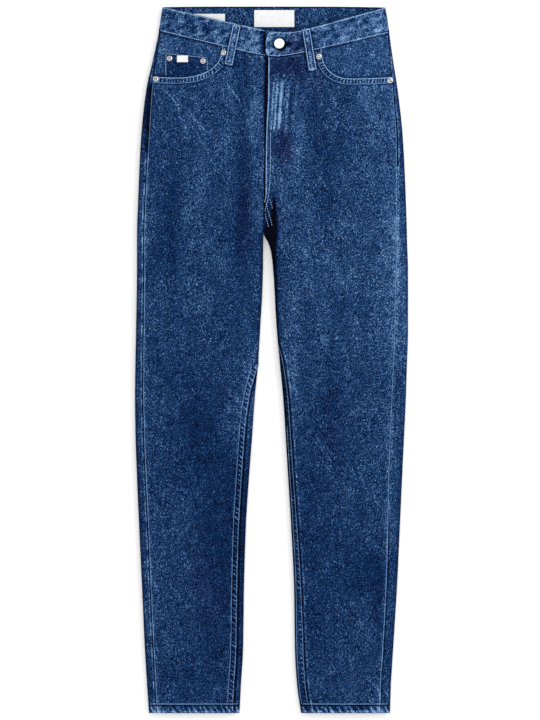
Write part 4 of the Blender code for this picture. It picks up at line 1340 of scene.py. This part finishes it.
def waistband(side, material):
    """Half of the waistband, from the fly round the side to the middle of the back."""
    end = FLAP_END if side == "left" else UNDERLAP_END
    start = hip_turn_at(end, 50.0)
    back_middle = -hip_turn_at(back_meet(0) + SIGN[side] * SEAM_GAP / 2, 0)
    stop = back_middle if side == "left" else 2 * pi + back_middle
    shares = spread(BAND_COLUMNS, 0.5)
    turns = start + (stop - start) * shares
    front = np.sin(turns) >= 0

    def place(down):
        return hip_surface(down, turns)

    def top_edge(across, down):
        edge = band_edge(BAND_TOP, 0.0, across, down, front)
        return edge + np.where(front, flap_drop(across), 0) if side == "left" else edge

    top = settle(place, top_edge, np.full(len(turns), 5.0))
    seam = settle(place, lambda across, down: band_seam(across, down, front), np.full(len(turns), 50.0))
    steps = spread(BAND_ROWS, 0.6)[:, None]
    down = top[None, :] + (seam - top)[None, :] * steps
    turn = np.repeat(turns[None, :], len(down), axis=0)
    if side == "left":
        swell = hip_turn_at(FLAP_END - FLAP_SWELL, 50.0) - start
        turn = turn + swell * flap_swell(steps) * (1 - ease(shares / 0.06))[None, :]

    def levels(down, across, turn):
        shift = np.where(np.sin(turn) >= 0, lap_shift(side, across), 0.0)
        return shift - BAND_IN, shift + BAND_OUT

    def details(base, turn):
        on_front = np.sin(turn) >= 0
        across, down = page_place(base)
        share = np.repeat(steps, turn.shape[1], axis=1)
        from_top, from_seam = share * BAND_HEIGHT, (1 - share) * BAND_HEIGHT
        puckers = np.sin((across + 0.5 * from_top) * 2 * pi / 9 + 2 * ripple(across, 0 * across, 30, 21))
        at_edge = bell(from_top - 3, 3) + bell(from_seam - 3, 3)
        height = 0.20 * ripple(across, down, 24, 22) + 0.14 * puckers * at_edge
        height -= 0.45 * (np.exp(-from_top / 0.8) + np.exp(-from_seam / 0.8))
        worn = 0.20 + 0.36 * ripple(across, 1.5 * down, 19, 23) + 0.24 * puckers * at_edge
        worn += 0.12 * ripple(across + 0.6 * down, 0.3 * down, 7, 25)
        worn += 0.42 * np.exp(-from_top / 1.1) * (1 + 0.5 * ripple(across, 0 * across, 14, 24))
        worn += 0.10 * bell(from_seam - 7, 5) + 0.10 * ease((across + 60) / 30)
        worn -= 0.10 * ease((-75 - across) / 30)
        if side == "right":
            # Painted shadow cast by the lapped end on the end beneath it
            worn -= 1.1 * bell(across - FLAP_END + FLAP_SWELL + 1.6, 1.7) * on_front
            worn -= 0.5 * bell(across - FLAP_END + 6, 5) * on_front
        else:
            worn += 0.45 * bell(across - FLAP_END + FLAP_SWELL * flap_swell(share) - 1.0, 1.0) * on_front
            hole = np.hypot((across - 23.5) / 1.9, down - BUTTON["down"] - 0.6)
            worn -= 0.9 * bell(np.maximum(hole - 2.4, 0), 1.2) * on_front
            # Painted shadow round the button
            ring = np.hypot(across - BUTTON["across"] - 0.5, down - BUTTON["down"] - 0.8)
            worn -= 0.8 * bell(np.maximum(ring - BUTTON["radius"] - 0.6, 0), 1.5) * on_front
        # Painted shadow beside the front belt loops, on the band
        for ends in FRONT_LOOPS.values():
            outline = loop_outline(ends, across, down)
            worn -= 0.75 * bell(outline, 1.5) * (outline > -1.0) * on_front
        # Darker along the seam, partly a dark joint and partly painted shade under the band's lower edge
        worn -= 0.30 * bell(from_seam + 1.0, 2.0) * on_front
        dark = bell(across - 40, 26) * (across > BUTTON["across"]) * (side == "left")
        worn -= 0.42 * dark * ease((from_top - 2) / 6)
        return height * np.where(on_front, 1, 0.0), worn * np.where(on_front, 1, 0.6)

    reach = np.repeat(steps, len(turns), axis=1) * BAND_HEIGHT
    # Painted shade on the band's inner face: a dark line at its top edge, and darker towards its seam, where
    # the front band shades it
    inside = 0.02 - 0.95 * bell(reach, 1.8) + 0.10 * bell(reach - 3.6, 1.2)
    inside = inside - 0.2 * bell(BAND_HEIGHT - reach, 8)
    inside = inside + 0.10 * ripple(hip_surface(down, turn)[..., 0], down, 14, 26)
    return cloth(f"band_{side}", hip_surface, hip_normal, down, turn, levels, details, "denim", material,
                 [f"waistband_{side}"], inside=inside)


def patch(name, front, outline, rows, columns, levels, details, slot_name, material, nodes=()):
    """Piece of cloth on the hips. outline(parts) gives across and down of the tops and bottoms."""
    parts = spread(columns, 0.5)
    top_across, top_down, end_across, end_down = outline(parts)
    steps = spread(rows, 0.5)[:, None]
    across = top_across[None, :] + (end_across - top_across)[None, :] * steps
    down = top_down[None, :] + (end_down - top_down)[None, :] * steps
    share = np.repeat(parts[None, :], rows, axis=0), np.repeat(steps, columns, axis=1)
    return cloth(name, flat_surface(front), flat_normal(front), down, across, levels,
                 lambda base, turn: details(base, share), slot_name, material, nodes)


def steady(low, high):
    """Levels that are the same all over a piece."""
    return lambda down, across, turn: (np.full(down.shape, low), np.full(down.shape, high))


def pocket_facing(side, material):
    """Cloth behind the front pocket mouth."""
    mouth, depth = MOUTH[side], FACING_DEPTH[side]

    def outline(parts):
        inner = mouth["inner_end"] - SIGN[side] * FACING_BEYOND

        def across_at(down):
            seam = SIGN[side] * (leg_line[side]["outer"](down) - leg_line[side]["side_seam"](down) - 1.0)
            return seam + (inner - seam) * parts
        top = bottom = np.full(len(parts), 80.0)
        for _ in range(SETTLE_STEPS):
            top = band_seam(across_at(top), top, True) + LAYER_GAP
            bottom = mouth_line(side, across_at(bottom), FACING_UNDER, FACING_BEYOND + 2.0)
        return across_at(top), top, across_at(bottom), bottom

    def details(base, share):
        across, down = page_place(base)
        to_band = down - band_seam(across, down, True)
        to_mouth = mouth_line(side, across) - down
        height = 0.15 * ripple(across, down, 22, 31)
        worn = 0.17 + 0.07 * ripple(across, down, 17, 32) - 0.30 * bell(to_band, 2.0)
        # Painted shadow just inside the pocket mouth, where its edge shades the facing
        worn -= 0.35 * bell(to_mouth, 4.0)
        return height, worn

    return patch(f"facing_{side}", True, outline, 44, 70, steady(-depth - FACING_CLOTH, -depth), details,
                 "facing_denim", material, [f"pocket_facing_{side}"])


def coin_pocket(material):
    """Small pocket on the right facing."""
    size = COIN_POCKET

    def outline(parts):
        across = size["outer"] + (size["inner"] - size["outer"]) * parts
        top = size["down_outer"] + (size["down_inner"] - size["down_outer"]) * parts
        bottom = np.minimum(size["end"], mouth_line("right", across, FACING_UNDER) - 4.0)
        return across, top, across, bottom

    def details(base, share):
        across, down = page_place(base)
        sideways = share[0]
        from_top = down - size["down_outer"] - (across - size["outer"]) * 0.107
        from_side = np.minimum(sideways, 1 - sideways) * 66
        height = 0.1 * ripple(across, down, 12, 41) - 0.25 * bell(from_top - 7.5, 0.9)
        worn = -0.20 + 0.10 * ripple(across, down, 9, 42) + 0.50 * bell(from_top, 1.3)
        worn += 0.40 * bell(from_side, 0.9) - 0.35 * bell(from_top - 2.6, 1.2)
        dashes = np.clip(np.sin(across * 2 * pi / 5.0 + 2 * ripple(across, 0 * across, 17, 43)), 0, 1)
        worn += (0.75 * dashes - 0.15) * bell(from_top - 6.0, 2.0)
        return height, worn

    levels = steady(-COIN_POCKET_LEVEL - COIN_POCKET_CLOTH, -COIN_POCKET_LEVEL)
    return patch("coin_pocket_shell", True, outline, 34, 46, levels, details, "denim", material,
                 ["coin_pocket"])


def label(name, node, front, size, levels, material):
    """Small bare label, its middle a little higher than its sewn edges."""
    def outline(parts):
        across = size["from"] + (size["to"] - size["from"]) * parts
        return across, np.full(len(parts), size["top"]), across, np.full(len(parts), size["bottom"])

    def details(base, share):
        middle = np.sin(pi * share[0]) * np.sin(pi * share[1])
        return 0.25 * middle * (1 if front else -1), 0 * middle

    return patch(name, front, outline, 10, 24, steady(*levels), details, "label_cloth", material, [node])


def back_pocket(side, material):
    """Patch pocket with a pointed lower edge, under the seat."""
    size = BACK_POCKET

    def outline(parts):
        reach = (2 * parts - 1) * SIGN[side]
        middle = SIGN[side] * size["middle"]
        bottom = size["tip"] - (size["tip"] - size["side"]) * np.abs(reach)
        return (middle + reach * size["half_top"], np.full(len(parts), size["top"]),
                middle + reach * size["half_bottom"], bottom)

    def details(base, share):
        from_side = np.minimum(share[0], 1 - share[0]) * 130
        from_top, from_end = share[1] * 155, (1 - share[1]) * 155
        rows = bell(from_side - 1.5, 0.8) + bell(from_top - 12, 0.9) + bell(from_end - 1.5, 0.8)
        edge = np.minimum(np.minimum(from_side, from_end), from_top)
        worn = 0.14 + 0.55 * bell(edge, 1.6) - 0.30 * np.minimum(rows, 1)
        return -0.2 * np.minimum(rows, 1), worn + 0.12 * ripple(base[..., 0], base[..., 1], 40, 9)

    levels = steady(SEAT_LIFT - size["cloth"], SEAT_LIFT)
    return patch(f"back_pocket_shell_{side}", False, outline, 50, 50, levels, details, "denim", material,
                 [f"back_pocket_{side}"])


def belt_loop(name, ends, front, material):
    """Narrow strip over the waistband, standing a little off it on the front."""
    from_across, from_down, to_across, to_down = ends
    length = hypot(to_across - from_across, to_down - from_down)
    side_step = ((to_down - from_down) / length, -(to_across - from_across) / length)

    def outline(parts):
        offset = (parts - 0.5) * LOOP_WIDTH
        return (from_across + side_step[0] * offset, from_down + side_step[1] * offset,
                to_across + side_step[0] * offset, to_down + side_step[1] * offset)

    def levels(down, across, turn):
        along = (down - from_down) / (to_down - from_down)
        low = np.full(down.shape, BAND_OUT + LAYER_GAP)
        if front:
            low = low + LOOP_BULGE * np.sin(pi * np.clip(along, 0, 1)) ** 2
            low = low - (BAND_OUT - 0.1) * ease((along - 0.75) / 0.2)
        return low, low + LOOP_CLOTH

    def details(base, share):
        beside = np.abs(share[0] - 0.5) * 2
        along = share[1] * length
        height = -0.35 * ease((beside - 0.8) / 0.2) - 0.18 * bell(beside - 0.62, 0.10)
        height = height + 0.3 * (1 - beside) ** 2
        worn = 0.90 * bell(beside, 0.38) * (0.75 + 0.6 * ripple(along, 9 * share[0], 13, len(name)))
        worn = worn + 0.25 * bell(beside - 0.97, 0.08) - 0.55 * bell(beside - 0.80, 0.10) - 0.18
        worn = worn + 0.35 * (bell(along, 2.2) + bell(along - length, 2.2))
        if not front:
            height = np.minimum(height, 0)
        return height, worn
    return patch(f"{name}_shell", front, outline, 46, 17, levels, details, "denim", material, [name])


# Sewing

def top_place(across, down, lift=0.0):
    """Finished places on the top side of the panels, and the directions out of the cloth."""
    side_is_left = across > np.where(down < CROTCH, front_meet(down), 0)
    places, outs = np.zeros((len(across), 3)), np.zeros((len(across), 3))
    for side, chosen in (("left", side_is_left), ("right", ~side_is_left)):
        if not chosen.any():
            continue
        a, d = across[chosen], down[chosen]
        outer, inner = edges(side, d, True)
        part = np.clip((2 * a - outer - inner) / (outer - inner), -1, 1)
        turn = np.arctan2(arch(part, LEG_POWER), part)
        base, out = side_surface(side, d, turn), side_normal(side)(d, turn)
        height = top_relief(a, d)[0] + panel_levels(side, True)(d, a, turn)[1]
        places[chosen], outs[chosen] = base + (height + lift)[:, None] * out, out
    return places, outs


def hip_place(front, level):
    """Places at a given level over the hips, on the band, a loop or a patch."""
    def place(across, down, lift=0.0):
        base, out = flat_surface(front)(down, across), flat_normal(front)(down, across)
        height = level(across, down) if callable(level) else level
        return base + np.expand_dims(height + lift + 0 * across, 1) * out, out
    return place


def walk(line, offset, spacing):
    """Even steps along a line, moved sideways: places and headings on the page."""
    run = np.gradient(line, axis=0)
    run /= np.linalg.norm(run, axis=1, keepdims=True)
    moved = line + offset * np.stack([-run[:, 1], run[:, 0]], axis=1)
    lengths = np.concatenate([[0], np.cumsum(np.linalg.norm(np.diff(moved, axis=0), axis=1))])
    count = max(int(lengths[-1] / spacing), 1)
    stops = (np.arange(count) + 0.5) * lengths[-1] / count
    across, down = np.interp(stops, lengths, moved[:, 0]), np.interp(stops, lengths, moved[:, 1])
    ahead = np.interp(stops + 0.3, lengths, moved[:, 0]), np.interp(stops + 0.3, lengths, moved[:, 1])
    behind = np.interp(stops - 0.3, lengths, moved[:, 0]), np.interp(stops - 0.3, lengths, moved[:, 1])
    return across, down, ahead, behind


STITCH_SIDES = 5
STITCH_RINGS = ((-0.5, -0.30, 0.55), (-0.22, 0.10, 1.0), (0.22, 0.10, 1.0), (0.5, -0.30, 0.55))


def stitch_meshes(place, line, offset, spacing=3.1, length=2.5, radius=0.42, slant=0.0, lift=0.12):
    """Points and faces of a row of stitches, each a short thread that dips into the cloth."""
    across, down, ahead, behind = walk(np.asarray(line, float), offset, spacing)
    middle, out = place(across, down, lift)
    forward = place(*ahead, lift)[0] - place(*behind, lift)[0]
    forward /= np.linalg.norm(forward, axis=1, keepdims=True)
    sideways = np.cross(forward, out)
    heading = forward * cos(slant) + sideways * sin(slant)
    sideways = np.cross(heading, out)
    points = []
    for run, rise, thick in STITCH_RINGS:
        for i in range(STITCH_SIDES):
            angle = 2 * pi * i / STITCH_SIDES
            spot = middle + heading * run * length + out * (rise + radius * thick * sin(angle))
            points.append(spot + sideways * radius * thick * cos(angle))
    points = np.stack(points, axis=1)
    faces = []
    for ring in range(len(STITCH_RINGS) - 1):
        for i in range(STITCH_SIDES):
            a, b = ring * STITCH_SIDES + i, ring * STITCH_SIDES + (i + 1) % STITCH_SIDES
            faces.append((a, b, b + STITCH_SIDES, a + STITCH_SIDES))
    last = (len(STITCH_RINGS) - 1) * STITCH_SIDES
    caps = [tuple(range(STITCH_SIDES - 1, -1, -1)), tuple(last + i for i in range(STITCH_SIDES))]
    return points, faces, caps


def sewing(name, rows, material):
    """One piece that holds several rows of stitches. Each row is a place function, a line and sizes."""
    points, faces = [], []
    for place, line, offset, sizes in rows:
        stitches, quads, caps = stitch_meshes(place, line, offset, **sizes)
        for stitch in stitches:
            first = len(points)
            points.extend(stitch.tolist())
            faces.extend([tuple(first + i for i in face) for face in quads + caps])
    mesh = bpy.data.meshes.new(name)
    mesh.from_pydata([[c * MM for c in p] for p in points], [], faces)
    work = bmesh.new()
    work.from_mesh(mesh)
    bmesh.ops.recalc_face_normals(work, faces=work.faces)
    work.to_mesh(mesh)
    work.free()
    mesh.shade_smooth()
    piece = bpy.data.objects.new(name, mesh)
    bpy.context.scene.collection.objects.link(piece)
    return finished(piece, "facing_denim", material)


def straight(a0, d0, a1, d1, count=30):
    """A straight line of places."""
    t = np.linspace(0, 1, count)[:, None]
    return np.array([a0, d0]) * (1 - t) + np.array([a1, d1]) * t


def sew_front(side, pale, soft, hem_thread):
    """Side seam, inseam, hem and pocket mouth rows of one side of the front."""
    hand = SIGN[side]
    side_line = SEAM_LINES[f"side_{side}"]
    side_line = side_line[side_line[:, 1] > (118 if side == "right" else 120)]
    inseam = SEAM_LINES[f"inseam_{side}"]
    inseam = inseam[inseam[:, 1] < HEM_TOP - 2]
    mouth = SEAM_LINES[f"mouth_{side}"]
    rows = [(top_place, mouth, hand * 1.3, {"spacing": 2.9, "radius": 0.48})]
    sewing(f"topstitch_front_{side}", rows, pale)
    second = inseam
    if side == "left":
        down = np.linspace(650, HEM_TOP - 3, 110)
        second = np.stack([leg_line["left"]["inner"](down) + 13.0, down], 1)
    rows = [
        (top_place, side_line[side_line[:, 1] < HEM_TOP], hand * 1.9, {}),
        (top_place, inseam, 2.2, {}),
        (top_place, second, 9.8, {}),
        (top_place, mouth[2:], hand * 9.2, {}),
    ]
    sewing(f"second_row_front_{side}", rows, soft)
    hem = SEAM_LINES[f"hem_{side}"]
    low, high = (-187.0, -52.5) if side == "right" else (48.5, 180.5)
    line = straight(low, hem[0, 1] - 1.2, high, hem[1, 1] - 1.2, 60)
    sewing(f"hem_stitch_{side}", [(top_place, line, 0.0, {"radius": 0.54})], hem_thread)


def sew_back(side, pale):
    """Rows round the back pocket, below the yoke and beside the seat seam, on the flat side."""
    size, middle = BACK_POCKET, SIGN[side] * BACK_POCKET["middle"]
    row = {"spacing": 3.4, "radius": 0.46}
    low = hip_place(False, SEAT_LIFT - 0.22)
    rows = []
    for hand in (-1, 1):
        top_corner = middle + hand * (size["half_top"] - 2.2)
        low_corner = middle + hand * (size["half_bottom"] - 2.2)
        rows.append((low, straight(top_corner, size["top"] + 2, low_corner, size["side"] - 2), 0.0, row))
        rows.append((low, straight(low_corner, size["side"] - 1.6, middle, size["tip"] - 3), 0.0, row))
    rows.append((low, straight(middle - 66, size["top"] + 12, middle + 66, size["top"] + 12), 0.0, row))
    panel = hip_place(False, -0.22)
    outer, inner = edges(side, 97.0, False)
    across = np.linspace(float(inner) + SIGN[side] * 3, float(outer) - SIGN[side] * 12, 60)
    yoke = np.stack([across, yoke_line(side, across, 97.0) + 2.8], axis=1)
    rows.append((panel, yoke, 0.0, row))
    if side == "left":
        down = np.linspace(121, CROTCH - 5, 60)
        rows.append((panel, np.stack([back_meet(down) + 2.8, down], axis=1), 0.0, row))
    sewing(f"back_stitch_{side}", rows, pale)


def sew_fly(pale, tonal):
    """Rows of the fly: the edge, its second row, the curved row and the bar tack."""
    down = np.linspace(82, 292, 90)
    edge = np.stack([front_meet(down) + fly_edge(down), down], 1)
    edge = np.concatenate([edge, [(-9.6, 299), (-11.2, 304)]])
    second = rounded_curve([(-1.4, 196), (-2.0, 262), (-4.2, 293), (-10.4, 318)], 9)
    rows = [(top_place, edge, 0.0, {"radius": 0.50}), (top_place, second, 0.0, {"radius": 0.40})]
    for ends in ((-8.6, 305, 1.2, 340), (-10.2, 320, -4.4, 342), (-2.6, 298, 1.6, 314)):
        rows.append((top_place, straight(*ends), 0.0, {"radius": 0.34, "spacing": 3.6}))
    sewing("fly_stitch", rows, pale)
    tack = straight(-6.4, 225.5, 4.0, 226.5)
    bar_tack = {"spacing": 0.9, "length": 3.0, "slant": 1.5}
    rows = [(top_place, FLY_J, 0.0, {}), (top_place, tack, 0.0, bar_tack)]
    sewing("fly_curve_stitch", rows, tonal)


def band_level(across, down):
    """Height of the waistband's outer face over the shared surface."""
    shift = np.where(across > FLAP_END, lap_shift("left", across), lap_shift("right", across))
    return BAND_OUT + shift


def sew_waist(pale):
    """Rows along both edges of the waistband and round its lapped end."""
    on_band = hip_place(True, band_level)
    top_right, top_left = SEAM_LINES["top_right"], SEAM_LINES["top_left"]
    low_right, low_left = SEAM_LINES["waist_right"], SEAM_LINES["waist_left"]
    top_left = top_left[top_left[:, 0] > FLAP_END + FLAP_CORNER]
    low_left = low_left[low_left[:, 0] > FLAP_END + 2]
    fine = {"spacing": 2.9, "radius": 0.44}
    share = np.linspace(0.04, 0.96, 40)
    top, seam = dip_line(BAND_TOP, FLAP_END) + flap_drop(FLAP_END), dip_line(BAND_SEAM, FLAP_END)
    end = np.stack([FLAP_END + 1.4 - FLAP_SWELL * flap_swell(share), top + (seam - top) * share], 1)
    lapped = np.linspace(FLAP_END + 3.5, FLAP_END + 24, 30)
    drop = np.stack([lapped, dip_line(BAND_TOP, lapped) + flap_drop(lapped) + 1.4], 1)
    rows = [
        (on_band, top_right[top_right[:, 0] < FLAP_END - 2], 1.4, fine),
        (on_band, top_left[top_left[:, 0] > FLAP_END + 24], 1.4, fine),
        (on_band, drop, 0.0, fine),
        (on_band, low_right[low_right[:, 0] < FLAP_END - 2], -1.6, fine),
        (on_band, low_left, -1.6, fine),
        (on_band, end, 0.0, fine),
    ]
    sewing("waistband_stitch", rows, pale)


def sew_coin_pocket(pale, tonal):
    """Rows round the coin pocket."""
    size = COIN_POCKET
    place = hip_place(True, -COIN_POCKET_LEVEL)
    top = straight(size["outer"] + 2, size["down_outer"] + 1.6, size["inner"] - 2, size["down_inner"] + 1.2)
    low = straight(size["outer"] + 2, size["down_outer"] + 9, size["inner"] - 2, size["down_inner"] + 8)
    outer = straight(size["outer"] + 1.4, size["down_outer"] + 2, size["outer"] + 1.4, 107)
    inner = straight(size["inner"] - 1.4, size["down_inner"] + 2, size["inner"] - 1.4, 99)
    sewing("coin_pocket_stitch", [(place, line, 0.0, {"radius": 0.40}) for line in (top, outer, inner)], pale)
    sewing("coin_pocket_hem_stitch", [(place, low, 0.0, {"radius": 0.36})], tonal)


def sew_loops(pale):
    """Two rows down each belt loop and a bar tack at each end."""
    rows = []
    for front, loops in ((True, FRONT_LOOPS), (False, BACK_LOOPS)):
        for from_across, from_down, to_across, to_down in loops.values():
            def level(across, down, start=from_down, stop=to_down, front=front):
                along = (down - start) / (stop - start)
                low = BAND_OUT + LAYER_GAP + LOOP_CLOTH
                if front:
                    low = low + LOOP_BULGE * np.sin(pi * np.clip(along, 0, 1)) ** 2 + 0.1
                    return low - (BAND_OUT - 0.1) * ease((along - 0.75) / 0.2)
                return low - 0.60 + 0 * across
            place = hip_place(front, level)
            line = straight(from_across, from_down + 1, to_across, to_down - 1)
            for offset in (-5.1, 5.1):
                rows.append((place, line, offset, {"radius": 0.66, "spacing": 2.8}))
            for share in (0.03, 0.965):
                a = from_across + (to_across - from_across) * share
                d = from_down + (to_down - from_down) * share
                tilt = (to_across - from_across) * 0.07
                bar = straight(a - 5.0, d + tilt, a + 5.0, d - tilt)
                rows.append((place, bar, 0.0, {"spacing": 2.6, "length": 2.2, "radius": 0.60}))
    sewing("belt_loop_stitch", rows, pale)


# Metal

def hard_piece(name, place, out, slot_name, material, node, hollow):
    """Move the selected modelled piece from the origin onto the cloth, with its place in its mesh."""
    piece = bpy.context.object
    piece.name = piece.data.name = name
    bpy.ops.object.transform_apply(location=True, rotation=True, scale=True)
    # Mark the ring of painted shade: a rivet's hollow, a button's rim
    ring, width = hollow
    depth = [exp(-((hypot(v.co.x, v.co.y) / MM - ring) / width) ** 2) for v in piece.data.vertices]
    piece.data.attributes.new("hollow", "FLOAT", "POINT").data.foreach_set("value", depth)
    turn = Vector((0, 0, 1)).rotation_difference(Vector(out)).to_matrix().to_4x4()
    piece.data.transform(Matrix.Translation(Vector(place) * MM) @ turn)
    bpy.ops.object.shade_smooth_by_angle(angle=0.6)
    return finished(piece, slot_name, material, node)


def select_faces(test):
    """Select the faces of the edited piece whose middle and normal pass a test."""
    bpy.ops.mesh.select_mode(type="FACE")
    bpy.ops.mesh.select_all(action="DESELECT")
    work = bmesh.from_edit_mesh(bpy.context.object.data)
    for face in work.faces:
        face.select_set(test(face.calc_center_median() / MM, face.normal))
    work.select_flush_mode()
    bmesh.update_edit_mesh(bpy.context.object.data)


def round_head(radius, height, sides):
    """A low round head, ready in edit mode with its top face selected."""
    bpy.ops.object.select_all(action="DESELECT")
    bpy.ops.mesh.primitive_cylinder_add(vertices=sides, radius=radius * MM, depth=height * MM,
                                        location=(0, 0, height * MM / 2))
    bpy.ops.object.mode_set(mode="EDIT")
    select_faces(lambda middle, normal: normal.z > 0.9)


# Steps that shape a head's top face: raised by a height and scaled, or inset by a width and lifted
BUTTON_STEPS = [
    ("step", "size", "rise"),
    ("raise", 2.08, 0.25), ("raise", 1.07, 0.75), ("raise", 0.97, 0.75),
    ("inset", 0.9, 0.35), ("inset", 0.7, -0.35), ("inset", 2.4, 0.22), ("inset", 1.8, 0.08),
]
RIVET_STEPS = [
    ("step", "size", "rise"),
    ("raise", 0.86, 0.5), ("inset", 0.8, 0.2), ("inset", 0.55, -0.55), ("inset", 0.5, 0.0),
    ("raise", 0.7, 0.65),
]


def shape_head(steps):
    """Shape the selected top face of a head by a table of steps, and leave edit mode."""
    for step, amount, rise in steps[1:]:
        if step == "raise":
            bpy.ops.mesh.extrude_region_move(TRANSFORM_OT_translate={"value": (0, 0, rise * MM)})
            bpy.ops.transform.resize(value=(amount, amount, 1))
        else:
            bpy.ops.mesh.inset(thickness=amount * MM)
            bpy.ops.transform.translate(value=(0, 0, rise * MM))
    bpy.ops.object.mode_set(mode="OBJECT")


def waist_button(material):
    """Plain sewn-through jeans button: a flat head with a rolled rim on a short shank."""
    place, out = top_spot(BUTTON["across"], BUTTON["down"], BAND_OUT + LAP_SHIFT + LAYER_GAP)
    radius = BUTTON["radius"]
    round_head(0.45 * radius, 1.2, 48)
    shape_head(BUTTON_STEPS)
    soften(0.25, 3)
    hard_piece("button_head", place, out, "silver_metal", material, "waist_button", (radius, 0.5))


def soften(width, segments):
    """Bevel the piece's hard edges."""
    piece = bpy.context.object
    bevel = piece.modifiers.new("softened", "BEVEL")
    bevel.width, bevel.segments, bevel.limit_method, bevel.angle_limit = width * MM, segments, "ANGLE", 0.6
    bpy.ops.object.modifier_apply(modifier=bevel.name)


def rivet(name, across, down, level, material):
    """Rivet cap with a rolled rim and a small nub in a round hollow."""
    place, out = top_spot(across, down, level + LAYER_GAP)
    round_head(4.2, 0.6, 32)
    shape_head(RIVET_STEPS)
    soften(0.12, 2)
    hard_piece(f"{name}_cap", place, out, "silver_metal", material, name, (1.9, 0.7))


def top_spot(across, down, level):
    """One place over the front at a level, and the direction out of the cloth there."""
    place, out = hip_place(True, level)(np.array([across]), np.array([down]))
    return place[0], out[0]


# Room, light and camera

PIXEL = 1.55
PHOTO_SIZE = (540, 720)
PHOTO_MIDDLE = (271.5, 359.75)
SENSOR = 36.0
LENS = 300.0
MIDDLE_HEIGHT = 7.0
FLOOR_LEVEL = -0.0006
LIGHTS = [
    ("name", "place", "size", "power"),
    ("key", (1.9, 1.3, 1.3), 1.6, 36.0),
    ("overhead", (0.0, 0.0, 12.0), 6.0, 390.0),
]


def room():
    """Plain pale floor and soft studio light from the upper right."""
    bpy.ops.object.select_all(action="DESELECT")
    bpy.ops.mesh.primitive_plane_add(size=8, location=(0, 0, FLOOR_LEVEL))
    floor = bpy.context.object
    floor.name = "floor"
    finish = Finish("pale_floor", 0.9)
    soft = finish.noise(finish.places((60, 60, 60)), 2.0)
    finish.colour(soft, [(0.0, (0.93, 0.93, 0.935)), (1.0, (0.95, 0.95, 0.955))])
    floor.data.materials.append(finish.material)
    world = bpy.data.worlds.new("studio")
    world.use_nodes = True
    world.node_tree.nodes["Background"].inputs["Color"].default_value = (1, 1, 1, 1)
    world.node_tree.nodes["Background"].inputs["Strength"].default_value = 0.92
    bpy.context.scene.world = world
    for name, place, size, power in LIGHTS[1:]:
        data = bpy.data.lights.new(name, "AREA")
        data.energy, data.size = power, size
        lamp = bpy.data.objects.new(name, data)
        lamp.location = place
        lamp.rotation_euler = (-Vector(place)).to_track_quat("-Z", "Y").to_euler()
        bpy.context.scene.collection.objects.link(lamp)


def camera():
    """Straight down on the jeans, framed as the photograph is."""
    data = bpy.data.cameras.new("camera")
    data.sensor_width, data.lens = SENSOR, LENS
    data.sensor_fit = "AUTO"
    eye = bpy.data.objects.new("camera", data)
    height = PHOTO_SIZE[1] * PIXEL * data.lens / data.sensor_width
    across = (PHOTO_SIZE[0] / 2 - PHOTO_MIDDLE[0]) * PIXEL
    along = (PHOTO_MIDDLE[1] - PHOTO_SIZE[1] / 2) * PIXEL
    eye.location = (across * MM, along * MM, (height + MIDDLE_HEIGHT) * MM)
    bpy.context.scene.collection.objects.link(eye)
    bpy.context.scene.camera = eye
    bpy.context.scene.view_settings.view_transform = "Standard"


def main():
    camera()
    body = denim("washed_denim")
    facing = denim("facing_denim", lift=0.02, contrast=0.9)
    band = denim("waistband_denim", lift=0.02, contrast=1.0)
    pale = thread("pale_thread", (0.20, 0.38, 0.66), (0.46, 0.66, 0.92))
    soft = thread("washed_thread", (0.05, 0.14, 0.32), (0.26, 0.46, 0.72))
    hem_thread = thread("hem_thread", (0.10, 0.24, 0.48), (0.40, 0.60, 0.88))
    tonal = thread("tonal_thread", (0.006, 0.018, 0.060), (0.04, 0.08, 0.18))
    white = woven_label("white_tape")
    metal = silver("silver_metal", (0.55, 0.55, 0.57), (0.78, 0.78, 0.79), 0.3)
    dull = silver("rivet_metal", (0.40, 0.40, 0.42), (0.80, 0.80, 0.81), 0.35)
    for side in ("right", "left"):
        front_panel(side, body)
        back_pieces(side, body)
        waistband(side, band)
        pocket_facing(side, facing)
        back_pocket(side, body)
        sew_front(side, pale, soft, hem_thread)
        sew_back(side, hem_thread)
    coin_pocket(body)
    for name, ends in FRONT_LOOPS.items():
        belt_loop(name, ends, True, band)
    for name, ends in BACK_LOOPS.items():
        belt_loop(name, ends, False, band)
    low = -COIN_POCKET_LEVEL + LAYER_GAP
    label("coin_tab_tape", "coin_tab", True, COIN_TAB, (low, low + LABEL_CLOTH), white)
    inner = -BAND_IN - LAYER_GAP
    label("waist_label_tape", "waist_label", False, WAIST_LABEL, (inner - LABEL_CLOTH, inner), white)
    label("side_label_tape", "side_label", False, SIDE_LABEL, (inner - LABEL_CLOTH, inner), white)
    sew_fly(pale, tonal)
    sew_waist(pale)
    sew_coin_pocket(pale, tonal)
    sew_loops(pale)
    waist_button(metal)
    for name, across, down, level in RIVETS[1:]:
        rivet(name, across, down, level, dull)
    zip_tape = thread("zip_tape", (0.008, 0.012, 0.03), (0.02, 0.03, 0.06))
    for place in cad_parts["zip"].material_slots:
        place.material = zip_tape
    room()


main()
